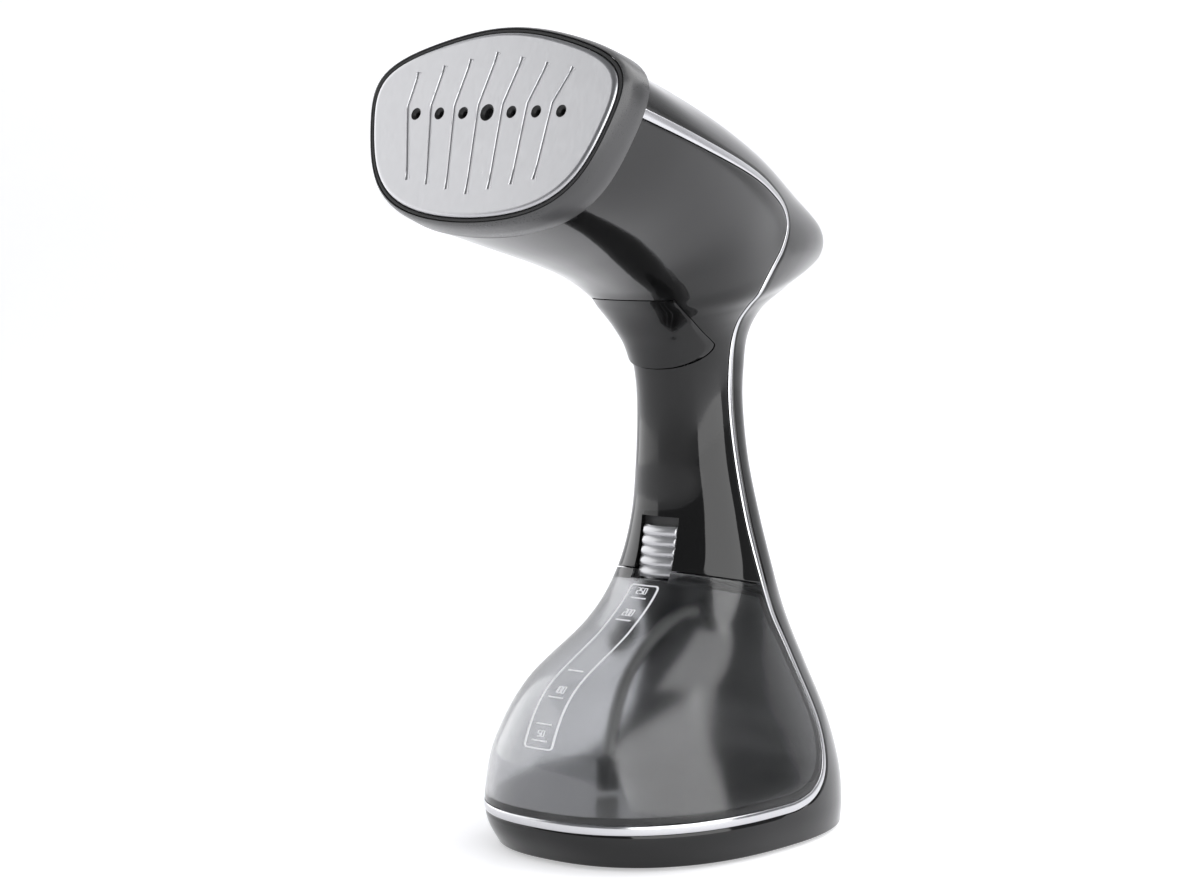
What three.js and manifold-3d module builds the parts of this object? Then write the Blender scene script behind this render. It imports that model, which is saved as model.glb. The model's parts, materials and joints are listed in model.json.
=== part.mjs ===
// Handheld garment steamer: a waisted handle on an oval base, with a tank in front of a rear spine.
// Millimetres, +Z up. The soleplate faces -Y and the origin is the middle of the resting face.

import * as THREE from "three";
import { mergeVertices } from "three/addons/utils/BufferGeometryUtils.js";
import Module from "manifold-3d";

const wasm = await Module();
wasm.setup();

// ---- Driving dimensions ------------------------------------------------------------------

const bodyHeight = 292; // resting face to the top of the head
const bodyWidth = 108; // across the base
const bodySegments = 20; // facets round the body
const bodySteps = 2; // rings between two sections

const shellWall = 2.2;
const shellGap = 0.3; // between two pieces of the case that meet edge to edge
const trimDepth = 1.8;
const trimProud = 0.3;
const linerWall = 2;

const faceTilt = 19.1; // degrees that the soleplate leans back
const plateThickness = 3.5;
const plateBevel = 1.6; // the rounded rim's width
const bevelDepth = 1.2;
const sealGap = 0.3;
const sealWidth = 1;
const collarWall = 2;
const caseFront = 12.7; // the case's front end behind the plate's face, on a body as drawn
const steamHoleRadius = 1.2;
const steamHolePitch = 11;
const middleHoleRadius = 2;
const countersink = 1; // how far the rim of a steam hole is wider than its bore

const tankGap = 0.4; // clearance all round the tank where it meets the case
const tankWall = 2.2;
const outletRadius = 4;
const outletBore = 2;
const outletClearance = 1;
const socketReach = 22.6; // from the outlet's front end to the hose behind its socket
const fillerRadius = 7.5;
const fillerClearance = 0.3;

const sliderWidth = 16.4;
const sliderHeight = 18.6;
const sliderThickness = 3.2;
const sliderTravel = 3;
const sliderClearance = 0.5;
const sliderCrown = 20; // radius of its rounded front, seen from above
const sliderEdge = 2.2; // how far the crown falls back at its sides
const trackGap = 0.4;
const trackThickness = 1.6;
const ribCount = 5;
const ribHeight = 0.8;
const stemWidth = 6;
const stemHeight = 6;
const stemDepth = 9.5;

const triggerProud = 1.2;
const triggerWall = 2;
const triggerClearance = 0.5;
const triggerHalfWidth = 19;
const pinRadius = 1.5;
const pinClearance = 0.3;
const pinLength = 26;
const knuckleWall = 2;
const knuckleLength = 20;

const boilerThickness = 15;
const boilerInset = 9; // from the edge of the soleplate's face
const coverThickness = 3;
const coverInset = 2;
const hoseRadius = 2.6;
const hoseBore = 1.4;
const pumpRadius = 11;
const pumpLength = 24;
const pumpCore = 6;
const buttonRadius = 6.1;
const buttonClearance = 0.4;
const lensRadius = 2;
const lensClearance = 0.3;

const footHeight = 2;
const footInset = 13;
const rimHeight = 1.5; // the case's lower rim above the floor
const coverPlate = 3;
const screwShank = 1.5;
const screwHead = 3;
const screwHeadHeight = 1.4;
const screwClearance = 0.35;
const postRadius = 5;
const glandRadius = 6.5;
const glandBore = 3.6;
const glandLength = 15;
const glandFlange = 2; // how far its flange stands out inside the case
const glandFlangeDepth = 2.4;
const springRadius = 2;
const springWire = 0.4;
const springTurns = 4;
const coilPoints = 8; // points of a coil's path in each turn
const coilSteps = 7; // straight pieces of its wire in each turn
const cutterEnd = 3; // how far the cutters that hollow the case run past its ends
const assemblyGap = 0.3; // between two inner pieces that meet

// ---- The body's shape --------------------------------------------------------------------

// The tables below are drawn for a body of this size, and scale with the driving dimensions.
const drawnHeight = 292;
const drawnWidth = 108;
const side = bodyHeight / drawnHeight;
const across = bodyWidth / drawnWidth;

// Cross sections from the foot up the handle and forwards along the head. Each lies in the plane
// through its front point and its rear point: half-width, skew (above 0 is wider near the rear or
// top), roundness (2 is an ellipse) and how far it takes the soleplate's outline instead.
const sections = [
  { front: [-68.8, 0], rear: [68.8, 0], half: 51.7, skew: 0, round: 2.4, face: 0 },
  { front: [-75.5, 11], rear: [68.5, 11], half: 53.8, skew: 0, round: 2.4, face: 0 },
  { front: [-77, 24], rear: [68, 24], half: 52.5, skew: 0, round: 2.38, face: 0 },
  { front: [-75.5, 41], rear: [65.5, 41], half: 47.3, skew: 0, round: 2.33, face: 0 },
  { front: [-63, 61], rear: [58.5, 60], half: 39, skew: 0, round: 2.28, face: 0 },
  { front: [-32.5, 79], rear: [48.5, 79], half: 32, skew: 0, round: 2.22, face: 0 },
  { front: [-15, 95], rear: [39.5, 97], half: 28.8, skew: 0, round: 2.2, face: 0 },
  { front: [-9, 115], rear: [34.5, 116], half: 24.1, skew: 0, round: 2.2, face: 0 },
  { front: [-8.5, 137], rear: [30, 137], half: 20.7, skew: 0, round: 2.2, face: 0 },
  { front: [-8.8, 157], rear: [27.6, 157], half: 19.3, skew: 0, round: 2.2, face: 0 },
  { front: [-11, 169.5], rear: [28.5, 171], half: 19.2, skew: 0, round: 2.2, face: 0 },
  { front: [-14, 178], rear: [33, 184], half: 19.8, skew: -0.1, round: 2.2, face: 0 },
  { front: [-17.5, 184], rear: [46, 194], half: 21, skew: -0.3, round: 2.2, face: 0 },
  { front: [-21, 189], rear: [68, 202.5], half: 23, skew: -0.5, round: 2.2, face: 0 },
  { front: [-24.5, 192.5], rear: [87, 211], half: 25.5, skew: -0.6, round: 2.2, face: 0 },
  { front: [-29, 195.8], rear: [84, 222], half: 29, skew: -0.45, round: 2.2, face: 0 },
  { front: [-35.5, 199.6], rear: [58, 236], half: 34.5, skew: -0.22, round: 2.2, face: 0 },
  { front: [-46, 203.8], rear: [26, 250.5], half: 41, skew: 0.02, round: 2.2, face: 0.1 },
  { front: [-62, 208.8], rear: [-10, 264], half: 47.5, skew: 0.15, round: 2.25, face: 0.25 },
  { front: [-81, 214], rear: [-45, 276], half: 53, skew: 0.18, round: 2.3, face: 0.5 },
  { front: [-101.2, 219.8], rear: [-77.7, 286.3], half: 57, skew: 0.16, round: 2.4, face: 0.9 },
];
const lastSection = sections.length - 1;

// The trim's middle line in the side view, and its width: head, tail, handle, tank edge, base.
const trimLine = [
  [-115, 268, 3.2], [-85, 260.6, 3.2], [-47, 251.2, 3.1], [-8, 241.8, 2.8], [12, 235.2, 2.4],
  [24, 229.6, 2.1], [28.5, 223, 2], [25.5, 215.5, 2], [18, 207, 2], [13, 198.5, 2],
  [10.4, 187, 2], [9, 173, 2.1], [9.2, 155, 2.2], [11.3, 135, 2.2], [13.4, 113, 2.3],
  [15.4, 96, 2.4], [19.4, 83, 2.4], [26.2, 68, 2.4], [31, 52, 2.4], [31.8, 38, 2.5],
  [27.5, 26.5, 2.7], [19, 19.6, 3], [7, 16.4, 3.2], [-10, 15.8, 3.2], [-60, 15.8, 3.2],
  [-110, 15.8, 3.2],
];
const trimSteps = 1; // straight pieces between two points of the line

// The seam between the handle and the tank, in the side view.
const seamPoint = [-13.5, 98.8];
const seamSlope = -0.21;

// The soleplate's outline: six sides about the row of holes, each by its direction from straight
// up and its distance, rounded into one another.
const faceSides = [15.6, 29.9, 105.2, 50.3, 166, 39.1];
const faceRounding = 5.4;
const facePoints = 32;
const faceCentre = [-100.1, 261.8];
const tilt = THREE.MathUtils.degToRad(faceTilt);

const curve = (points) => new THREE.CatmullRomCurve3(points, false, "catmullrom", 0.5);
const frontCurve = curve(sections.map((s) => new THREE.Vector3(s.front[0], s.front[1], s.half)));
const rearCurve = curve(sections.map((s) => new THREE.Vector3(s.rear[0], s.rear[1], s.skew)));
const blendCurve = curve(sections.map((s) => new THREE.Vector3(s.round, s.face, 0)));

// Distance from the hole row to the soleplate's outline, at an angle from straight up.
function faceReach(angle, grow) {
  let sum = 0;
  for (let i = 0; i < faceSides.length; i += 2)
    for (const sign of [-1, 1]) {
      const lean = Math.cos(angle - THREE.MathUtils.degToRad(sign * faceSides[i]));
      sum += Math.max(lean / (faceSides[i + 1] + grow), 0) ** faceRounding;
    }
  return sum ** (-1 / faceRounding);
}

function faceOutline(angle, grow = 0) {
  const reach = faceReach(angle, grow);
  return [reach * Math.sin(angle), reach * Math.cos(angle)];
}

const faceTop = faceReach(0, 0);
const faceBottom = -faceReach(Math.PI, 0);
const degrees = Array.from({ length: 181 }, (_, i) => THREE.MathUtils.degToRad(i));
const faceHalf = Math.max(...degrees.map((angle) => faceOutline(angle)[0]));

// One point of a section: a skewed superellipse mixed with the soleplate's outline. The angle
// runs from the front point round to the rear point. It gives x, and -1 to 1 from front to rear.
function sectionPoint(half, skew, round, face, angle) {
  const power = (value) => Math.sign(value) * Math.abs(value) ** (2 / round);
  const along = power(-Math.cos(angle));
  const out = power(Math.sin(angle)) * (1 + skew * along);
  const [faceX, faceUp] = faceOutline(Math.PI - angle);
  const faceAlong = (2 * (faceUp - faceBottom)) / (faceTop - faceBottom) - 1;
  const mix = THREE.MathUtils.lerp;
  return [half * mix(out, faceX / faceHalf, face), mix(along, faceAlong, face)];
}

// The ring of the body at a share of its length, grown outwards by a distance.
function bodyRing(share, grow) {
  const front = frontCurve.getPoint(share);
  const rear = rearCurve.getPoint(share);
  const blend = blendCurve.getPoint(share);
  const middle = [(front.x + rear.x) / 2, (front.y + rear.y) / 2];
  const reach = [(rear.x - front.x) / 2, (rear.y - front.y) / 2];
  const length = Math.hypot(...reach) * side;
  const stretch = (length + grow) / length;
  const half = front.z * across + grow;
  return Array.from({ length: bodySegments }, (_, i) => {
    const angle = (2 * Math.PI * i) / bodySegments;
    const [x, along] = sectionPoint(half, rear.z, blend.x, blend.y, angle);
    const y = (middle[0] + reach[0] * along * stretch) * side;
    const z = (middle[1] + reach[1] * along * stretch) * side;
    return new THREE.Vector3(x, y, z);
  });
}

// ---- Solids ------------------------------------------------------------------------------

function solid(geometry) {
  geometry.deleteAttribute("normal");
  geometry.deleteAttribute("uv");
  const merged = mergeVertices(geometry, 1e-4);
  return new wasm.Manifold(
    new wasm.Mesh({
      numProp: 3,
      vertProperties: merged.attributes.position.array,
      triVerts: new Uint32Array(merged.index.array),
    }),
  );
}

// A closed solid through rings of equal count, each end closed by a fan from its middle.
function lofted(rings) {
  const count = rings[0].length;
  const middle = (ring) => ring.reduce((sum, p) => sum.add(p), new THREE.Vector3()).divideScalar(count);
  const points = [...rings.flat(), middle(rings[0]), middle(rings.at(-1))];
  const [startMiddle, endMiddle] = [points.length - 2, points.length - 1];
  const lastRing = (rings.length - 1) * count;
  const index = [];
  for (let i = 0; i < count; i++) {
    const next = (i + 1) % count;
    for (let row = 0; row < lastRing; row += count) {
      index.push(row + i, row + next, row + count + next);
      index.push(row + i, row + count + next, row + count + i);
    }
    index.push(startMiddle, next, i, endMiddle, lastRing + i, lastRing + next);
  }
  const geometry = new THREE.BufferGeometry().setFromPoints(points);
  if (signedVolume(points, index) < 0) index.reverse();
  return geometry.setIndex(index);
}

function signedVolume(points, index) {
  let volume = 0;
  for (let i = 0; i < index.length; i += 3) {
    const [a, b, c] = [points[index[i]], points[index[i + 1]], points[index[i + 2]]];
    volume += a.dot(b.clone().cross(c));
  }
  return volume;
}

// The whole body grown by a distance. A cutter also runs past both of its ends, to cut it hollow.
function bodySolid(grow, past = 0) {
  const steps = lastSection * bodySteps;
  const rings = Array.from({ length: steps + 1 }, (_, i) => bodyRing(i / steps, grow));
  if (past > 0) {
    const forward = new THREE.Vector3(0, -past, past * Math.tan(tilt));
    rings.unshift(rings[0].map((p) => p.clone().setZ(p.z - past)));
    rings.push(rings.at(-1).map((p) => p.clone().add(forward)));
  }
  return solid(lofted(rings));
}

function box(x, y, z, centre) {
  return solid(new THREE.BoxGeometry(x, y, z).translate(...centre));
}

// A cylinder or cone along +Y from a place, as a cutter or a plain piece.
function rodY(radius, length, place, endRadius = radius, segments = 20) {
  const geometry = new THREE.CylinderGeometry(endRadius, radius, length, segments);
  return solid(geometry.translate(0, length / 2, 0).translate(...place));
}

function rodX(radius, length, place, segments = 24) {
  const geometry = new THREE.CylinderGeometry(radius, radius, length, segments);
  return solid(geometry.rotateZ(-Math.PI / 2).translate(...place));
}

function rodZ(radius, length, place, segments = 20) {
  const geometry = new THREE.CylinderGeometry(radius, radius, length, segments);
  return solid(geometry.rotateX(Math.PI / 2).translate(0, 0, length / 2).translate(...place));
}

// A side-view outline of y and z points, carried across the whole width.
function sidePrism(points, halfWidth) {
  const shape = new THREE.Shape(points.map(([y, z]) => new THREE.Vector2(y, z)));
  const geometry = new THREE.ExtrudeGeometry(shape, { depth: 2 * halfWidth, bevelEnabled: false });
  const toSide = new THREE.Matrix4().makeBasis(
    new THREE.Vector3(0, 1, 0),
    new THREE.Vector3(0, 0, 1),
    new THREE.Vector3(1, 0, 0),
  );
  return solid(geometry.applyMatrix4(toSide).translate(-halfWidth, 0, 0));
}

// A hollow hose along a list of y and z points on the middle plane.
function hose(points, radius, bore, steps) {
  const path = curve(points.map(([y, z]) => new THREE.Vector3(0, y * side, z * side)));
  const ring = new THREE.Shape().absarc(0, 0, radius, 0, 2 * Math.PI);
  ring.holes.push(new THREE.Path().absarc(0, 0, bore, 0, 2 * Math.PI));
  return new THREE.ExtrudeGeometry(ring, { steps, curveSegments: 4, extrudePath: path });
}

// A coil spring along +Z from the origin.
function coilSpring(radius, wire, length, turns) {
  const count = turns * coilPoints;
  const points = Array.from({ length: count + 1 }, (_, i) => {
    const angle = (2 * Math.PI * i) / coilPoints;
    const rise = THREE.MathUtils.lerp(wire, length - wire, i / count);
    return new THREE.Vector3(radius * Math.cos(angle), radius * Math.sin(angle), rise);
  });
  const section = new THREE.Shape().absarc(0, 0, wire, 0, 2 * Math.PI);
  const steps = turns * coilSteps;
  return new THREE.ExtrudeGeometry(section, { steps, curveSegments: 2, extrudePath: curve(points) });
}

// ---- Materials and nodes -----------------------------------------------------------------

const finish = (color, roughness, metalness = 0) =>
  new THREE.MeshStandardMaterial({ color, roughness, metalness });
const glossBlack = finish(0x17181a, 0.15);
const collarGrey = finish(0x4a4b4e, 0.35);
const plateMetal = finish(0xc4c6c8, 0.3, 1);
const brightMetal = finish(0xdddfe2, 0.12, 1);
const silver = finish(0xc9cbcd, 0.3, 0.6);
const smokyClear = new THREE.MeshStandardMaterial({
  color: 0x8c8f92, roughness: 0.05, transparent: true, opacity: 0.45,
});
const rubber = finish(0x1c1c1d, 0.8);
const paleRubber = finish(0xd9d9d6, 0.6);
const mattBlack = finish(0x242527, 0.55);
const castAluminium = finish(0x9da0a3, 0.45, 1);
const steel = finish(0xb2b4b6, 0.3, 1);
const copper = finish(0xa9683c, 0.4, 1);
const boardGreen = finish(0x1d5b34, 0.5);
const componentBlue = finish(0x24477c, 0.4);
const whitePlastic = finish(0xe6e6e2, 0.4);
const redLens = finish(0xb4342c, 0.15);

const steamer = new THREE.Group();
const head = new THREE.Group(); // +Y runs back from the soleplate's face, +Z up along it
head.position.set(0, faceCentre[0] * side, faceCentre[1] * side);
head.rotation.x = -tilt;
steamer.add(head);

function add(name, shape, material, parent = steamer) {
  let geometry = shape;
  if (!shape.isBufferGeometry) {
    const mesh = shape.getMesh();
    geometry = new THREE.BufferGeometry();
    const places = new THREE.BufferAttribute(new Float32Array(mesh.vertProperties), 3);
    geometry.setAttribute("position", places);
    geometry.setIndex(new THREE.BufferAttribute(new Uint32Array(mesh.triVerts), 1));
  }
  const made = new THREE.Mesh(geometry, material);
  made.name = name;
  parent.add(made);
  return made;
}

// ---- Parting lines -----------------------------------------------------------------------

const trimCurve = curve(trimLine.map(([y, z, w]) => new THREE.Vector3(y * side, z * side, w)));
const cutHalfWidth = bodyWidth;

// Everything in front of the trim's middle line, moved towards the rear by a distance past the
// trim's edge: which is 1 for its rear edge and -1 for its front edge.
function frontOfTrim(which, past) {
  const steps = (trimLine.length - 1) * trimSteps;
  const points = Array.from({ length: steps + 1 }, (_, i) => {
    const { x: y, y: z, z: width } = trimCurve.getPoint(i / steps);
    const way = trimCurve.getTangent(i / steps).setZ(0).normalize();
    const offset = (which * width) / 2 + past;
    return [y - way.y * offset, z + way.x * offset];
  });
  return sidePrism(points, cutHalfWidth);
}

// Everything below the tank's seam, raised by a distance.
function belowSeam(raise) {
  const deep = bodyHeight;
  const [y, z] = seamPoint.map((value) => value * side);
  const height = (at) => z + raise + seamSlope * (at - y);
  const corners = [[-deep, -deep], [deep, -deep], [deep, height(deep)], [-deep, height(-deep)]];
  return sidePrism(corners, cutHalfWidth);
}

// The tank's room, drawn in by a distance from the trim's front edge and from the seam.
const tankRoom = (inset) => frontOfTrim(-1, -inset).intersect(belowSeam(-inset));

const outside = bodySolid(0);
const inside = bodySolid(-shellWall, cutterEnd);
const lining = bodySolid(-shellWall - shellGap, cutterEnd);
const floorCut = box(4 * bodyWidth, 2 * bodyHeight, 2 * rimHeight, [0, 0, 0]);

// ---- Places shared by pieces that meet ---------------------------------------------------

const screwHole = screwShank + screwClearance;
const outletPlace = [0, 14 * side, 80 * side];
const fillerPlace = [12 * side, 68 * side];
const sliderFoot = 95.4 * side;
const sliderTop = sliderFoot + sliderHeight;
const sliderFront = [-11.8 * side, -8.6 * side]; // at its foot and at its top
const buttonHeight = 166 * side;
const lensHeight = 180 * side;
const glandHeight = 16 * side;
const screwPlaces = [-1, 1].flatMap((x) => [-1, 1].map((y) => [x * 36.5 * across, y * 44.5 * side]));
const triggerFoot = 171.5 * side;
const triggerShoulder = 180.5 * side;
const triggerTop = 196.5 * side;
const triggerFullness = 0.92; // how square its U-shaped foot is: 1 reaches its corners
const triggerBack = 1 * side; // how far back its sides go
const openingBack = triggerBack + 3 * side; // and its opening, with room for it to swing in
const hinge = [-20 * side, 192 * side];

// The trigger's outline from the front, grown by a distance, as a cutter from the front surface
// back to a depth.
function triggerOutline(grow, back) {
  const half = triggerHalfWidth * across + grow;
  const shape = new THREE.Shape();
  shape.moveTo(-half, triggerTop + grow);
  shape.lineTo(-half, triggerShoulder);
  shape.quadraticCurveTo(-half * triggerFullness, triggerFoot - grow, 0, triggerFoot - grow);
  shape.quadraticCurveTo(half * triggerFullness, triggerFoot - grow, half, triggerShoulder);
  shape.lineTo(half, triggerTop + grow);
  const depth = 60 * side;
  const geometry = new THREE.ExtrudeGeometry(shape, { depth, bevelEnabled: false, curveSegments: 6 });
  return solid(geometry.rotateX(Math.PI / 2).translate(0, back, 0));
}

// ---- Case --------------------------------------------------------------------------------

function frontShell() {
  const recessTop = sliderTop + sliderTravel + sliderClearance;
  const recess = box(
    sliderWidth + 2 * sliderClearance, 40 * side, recessTop - 60 * side,
    [0, -22 * side, (recessTop + 60 * side) / 2],
  );
  const shell = outside.subtract(inside).intersect(frontOfTrim(-1, -shellGap)).subtract(belowSeam(0));
  return shell.subtract(recess).subtract(triggerOutline(triggerClearance, openingBack));
}

function rearShell() {
  let shell = outside.subtract(inside).subtract(frontOfTrim(1, shellGap)).subtract(floorCut);
  const postTop = 14 * side;
  const postFoot = rimHeight + 1 + coverPlate + shellGap;
  for (const [x, y] of screwPlaces) {
    const post = rodZ(postRadius, postTop - postFoot, [x, y, postFoot], 14);
    const rib = box(12, 2, postTop - postFoot, [x + Math.sign(x) * 6, y, (postTop + postFoot) / 2]);
    shell = shell.add(post.add(rib).intersect(outside));
    shell = shell.subtract(rodZ(screwHole, postTop, [x, y, 0], 10));
    shell = shell.subtract(rodZ(screwHead + screwClearance, postFoot, [x, y, 0], 14));
  }
  const back = 50 * side;
  shell = shell.subtract(rodY(buttonRadius + buttonClearance, back, [0, 10 * side, buttonHeight]));
  shell = shell.subtract(rodY(lensRadius + lensClearance, back, [0, 12 * side, lensHeight], undefined, 12));
  return shell.subtract(rodY(glandRadius + shellGap, back, [0, 50 * side, glandHeight], undefined, 16));
}

function trimStrip() {
  const band = bodySolid(trimProud).subtract(bodySolid(-trimDepth, cutterEnd));
  return band.intersect(frontOfTrim(1, 0)).subtract(frontOfTrim(-1, 0));
}

function tankBayLiner() {
  const liner = lining.intersect(tankRoom(-linerWall)).subtract(tankRoom(0));
  const [x, , z] = outletPlace;
  const sliderBack = sliderFront[1] + sliderThickness;
  const sliderRoom = box(sliderWidth + 2 * sliderClearance, 40, 40, [0, sliderBack - 20, sliderFoot]);
  return liner.subtract(rodY(outletRadius + outletClearance, 60 * side, [x, 0, z])).subtract(sliderRoom);
}

function bottomCover() {
  const foot = rimHeight + 1;
  let cover = lining.intersect(box(2 * bodyWidth, bodyHeight, coverPlate, [0, 0, foot + coverPlate / 2]));
  for (const [x, y] of screwPlaces) {
    cover = cover.subtract(rodZ(screwHole, 20, [x, y, 0], 10));
    const sink = foot + screwHeadHeight + assemblyGap;
    cover = cover.subtract(rodZ(screwHead + screwClearance, sink, [x, y, 0], 14));
  }
  return cover;
}

function rubberFoot() {
  const slab = box(2 * bodyWidth, bodyHeight, footHeight, [0, 0, footHeight / 2]);
  return bodySolid(-footInset, cutterEnd).intersect(slab);
}

function screw(shankLength) {
  const profile = [
    [0, 0], [screwHead * 0.8, 0], [screwHead, screwHeadHeight * 0.4], [screwHead, screwHeadHeight],
    [screwShank, screwHeadHeight], [screwShank, screwHeadHeight + shankLength],
    [0, screwHeadHeight + shankLength + 1],
  ];
  const points = profile.map(([r, z]) => new THREE.Vector2(r, z));
  return new THREE.LatheGeometry(points, 8).rotateX(Math.PI / 2);
}

function cordGland() {
  const flange = rodY(glandRadius + glandFlange, glandFlangeDepth, [0, 0, 0], undefined, 16);
  const sleeve = rodY(glandRadius, glandLength, [0, 0, 0], undefined, 16);
  return flange.add(sleeve).subtract(rodY(glandBore, glandLength + 2, [0, -1, 0], undefined, 16));
}

// ---- Head: soleplate, seal, collar and the steam boiler behind them -------------------------

// A ring of the soleplate's outline in the head's own frame, at a depth behind its face.
function faceRing(grow, depth) {
  return Array.from({ length: facePoints }, (_, i) => {
    const [x, up] = faceOutline((2 * Math.PI * i) / facePoints, grow);
    return new THREE.Vector3(x * across, depth, up * side);
  });
}

const faceSolid = (...rings) => solid(lofted(rings.map(([grow, depth]) => faceRing(grow, depth))));

const holeNumbers = [-3, -2, -1, 0, 1, 2, 3];
const holeX = (i) => i * steamHolePitch * across;
const grooveWidth = 0.8;
const grooveDepth = 0.4;

// A groove runs from a pit above its hole, past the hole's left, to a pit below it.
function groovePoints(i) {
  const rise = Math.abs(i);
  return [[11.7 * i - 1, 21.5 - 2.1 * rise], [11 * i - 4.1, 3], [9.6 * i - 1, 1.7 * rise - 28.8]];
}

function soleplate() {
  let plate = faceSolid([0, 0], [plateBevel, bevelDepth], [plateBevel, plateThickness]);
  for (const i of holeNumbers) {
    const radius = i === 0 ? middleHoleRadius : steamHoleRadius;
    plate = plate.subtract(rodY(radius, plateThickness + 2, [holeX(i), -1, 0], radius, 10));
    const rim = rodY(radius + countersink * 2, countersink * 2, [holeX(i), -countersink, 0], radius, 10);
    plate = plate.subtract(rim);
    const points = groovePoints(i);
    for (let leg = 0; leg < 2; leg++) plate = plate.subtract(groove(points[leg], points[leg + 1]));
  }
  return plate;
}

function groove([x0, up0], [x1, up1]) {
  const [dx, dUp] = [(x1 - x0) * across, (up1 - up0) * side];
  const geometry = new THREE.BoxGeometry(grooveWidth, 2 * grooveDepth, Math.hypot(dx, dUp) + grooveWidth / 2);
  geometry.rotateY(Math.atan2(dx, dUp));
  return solid(geometry.translate(((x0 + x1) / 2) * across, 0, ((up0 + up1) / 2) * side));
}

const collarDepth = caseFront * side - shellGap;
const sealInner = plateBevel + sealGap;
const sealOuter = sealInner + sealWidth;
const collarInner = sealOuter + sealGap;
const collarOuter = collarInner + collarWall;

function plateSeal() {
  const outer = faceSolid([sealOuter, 1], [sealOuter, plateThickness]);
  return outer.subtract(faceSolid([sealInner, 0], [sealInner, plateThickness + 1]));
}

function frontCollar() {
  const edge = collarOuter - 1.6;
  const outer = faceSolid([edge, 1], [collarOuter - 0.3, 4.5], [collarOuter, collarDepth]);
  return outer.subtract(faceSolid([collarInner, 0], [collarInner, collarDepth + 1]));
}

const boilerFront = plateThickness + assemblyGap;
const boilerBack = boilerFront + boilerThickness;
const coverFront = boilerBack + assemblyGap;
const coverBack = coverFront + coverThickness;
const mountedFront = coverBack + assemblyGap; // front of what is fixed to the boiler's cover
const boilerScrewDepth = 9;
const boilerPinX = 37 * across;
const boilerScrews = [-1, 1].flatMap((x) => [-1, 1].map((up) => [x * 30 * across, (up * 12 - 4) * side]));

function boilerBlock() {
  const edge = -boilerInset;
  let block = faceSolid([edge, boilerFront], [edge, boilerBack - 2], [edge - coverInset, boilerBack]);
  for (const [x, up] of boilerScrews) {
    const place = [x, boilerBack - boilerScrewDepth, up];
    block = block.subtract(rodY(screwHole, boilerThickness, place, undefined, 10));
  }
  for (const x of [-boilerPinX, boilerPinX]) block = block.add(rodY(2, 14, [x, boilerBack - 4, 0], 2, 8));
  return block;
}

function boilerCover() {
  const edge = -boilerInset - 2 * coverInset;
  let cover = faceSolid([edge, coverFront], [edge, coverBack]);
  for (const [x, up] of boilerScrews)
    cover = cover.subtract(rodY(screwHole, boilerCutter, [x, boilerFront, up], undefined, 10));
  for (const x of [-boilerPinX, boilerPinX])
    cover = cover.subtract(rodY(3, boilerCutter, [x, boilerFront, 0], 3, 10));
  return cover;
}

const boilerCutter = 20;
const inletUp = -13 * side;
const inletLength = 9;

function boilerInlet() {
  const barb = rodY(hoseRadius, 2, [0, coverBack + inletLength - 3, inletUp], hoseBore, 10);
  const stem = rodY(hoseBore, inletLength, [0, mountedFront, inletUp], hoseBore, 10);
  const flange = rodY(5, 2, [0, mountedFront, inletUp], 5, 12);
  return flange.add(stem).add(barb);
}

function thermostat() {
  const [x, up] = [-16 * across, 4 * side];
  const [canRadius, canDepth, capRadius, capDepth] = [8.5, 6, 6, 9];
  const can = rodY(canRadius, canDepth, [x, mountedFront, up], undefined, 18);
  const cap = rodY(capRadius, capDepth, [x, mountedFront, up], undefined, 14);
  const tabs = [-3, 3].map((shift) => box(2.4, 8, 0.8, [x + shift, coverBack + 12, up]));
  return can.add(cap).add(tabs[0]).add(tabs[1]);
}

function thermalFuse() {
  const place = [16 * across, coverBack + 3.2, 7 * side];
  const [bodyRadius, bodyLength, leadRadius, leadLength] = [2.4, 16, 0.7, 26];
  return rodX(bodyRadius, bodyLength, place, 12).add(rodX(leadRadius, leadLength, place, 8));
}

add("soleplate", soleplate(), plateMetal, head);
add("soleplate_seal", plateSeal(), rubber, head);
add("front_collar", frontCollar(), collarGrey, head);
add("boiler_block", boilerBlock(), castAluminium, head);
add("boiler_cover", boilerCover(), castAluminium, head);
add("boiler_inlet", boilerInlet(), steel, head);
add("thermostat", thermostat(), steel, head);
add("thermal_fuse", thermalFuse(), whitePlastic, head);
boilerScrews.forEach(([x, up], i) => {
  const made = add(`boiler_screw_${i + 1}`, screw(8), steel, head);
  made.rotation.x = Math.PI / 2;
  made.position.set(x, mountedFront + screwHeadHeight, up);
});

// ---- Handle: slider, trigger, pump, hoses and switch ----------------------------------------

const springLength = 8;
const triggerSpringLength = 9.5 * side;
const sliderPlace = (share) => [THREE.MathUtils.lerp(...sliderFront, share), sliderFoot + share * sliderHeight];

// The slider's side view: a ribbed front and a flat back.
function releaseSlider() {
  const shape = new THREE.Shape();
  shape.moveTo(...sliderPlace(0));
  for (let i = 0; i < ribCount; i++) {
    const [midY, midZ] = sliderPlace((i + 0.5) / ribCount);
    shape.quadraticCurveTo(midY - 2 * ribHeight, midZ, ...sliderPlace((i + 1) / ribCount));
  }
  const [topY, topZ] = sliderPlace(1);
  const [footY, footZ] = sliderPlace(0);
  shape.lineTo(topY + sliderThickness, topZ);
  shape.lineTo(footY + sliderThickness, footZ);
  const points = shape.getPoints(3).map((p) => [p.x, p.y]);
  const [midY, midZ] = sliderPlace(0.5);
  const crown = rodZ(sliderCrown, sliderHeight + 10, [0, midY + sliderCrown - sliderEdge, sliderFoot - 5], 32);
  const stemPlace = [0, midY + sliderThickness + stemDepth / 2 - 0.5, midZ];
  const stem = box(stemWidth, stemDepth, stemHeight, stemPlace);
  return sidePrism(points, sliderWidth / 2).intersect(crown).add(stem);
}

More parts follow.
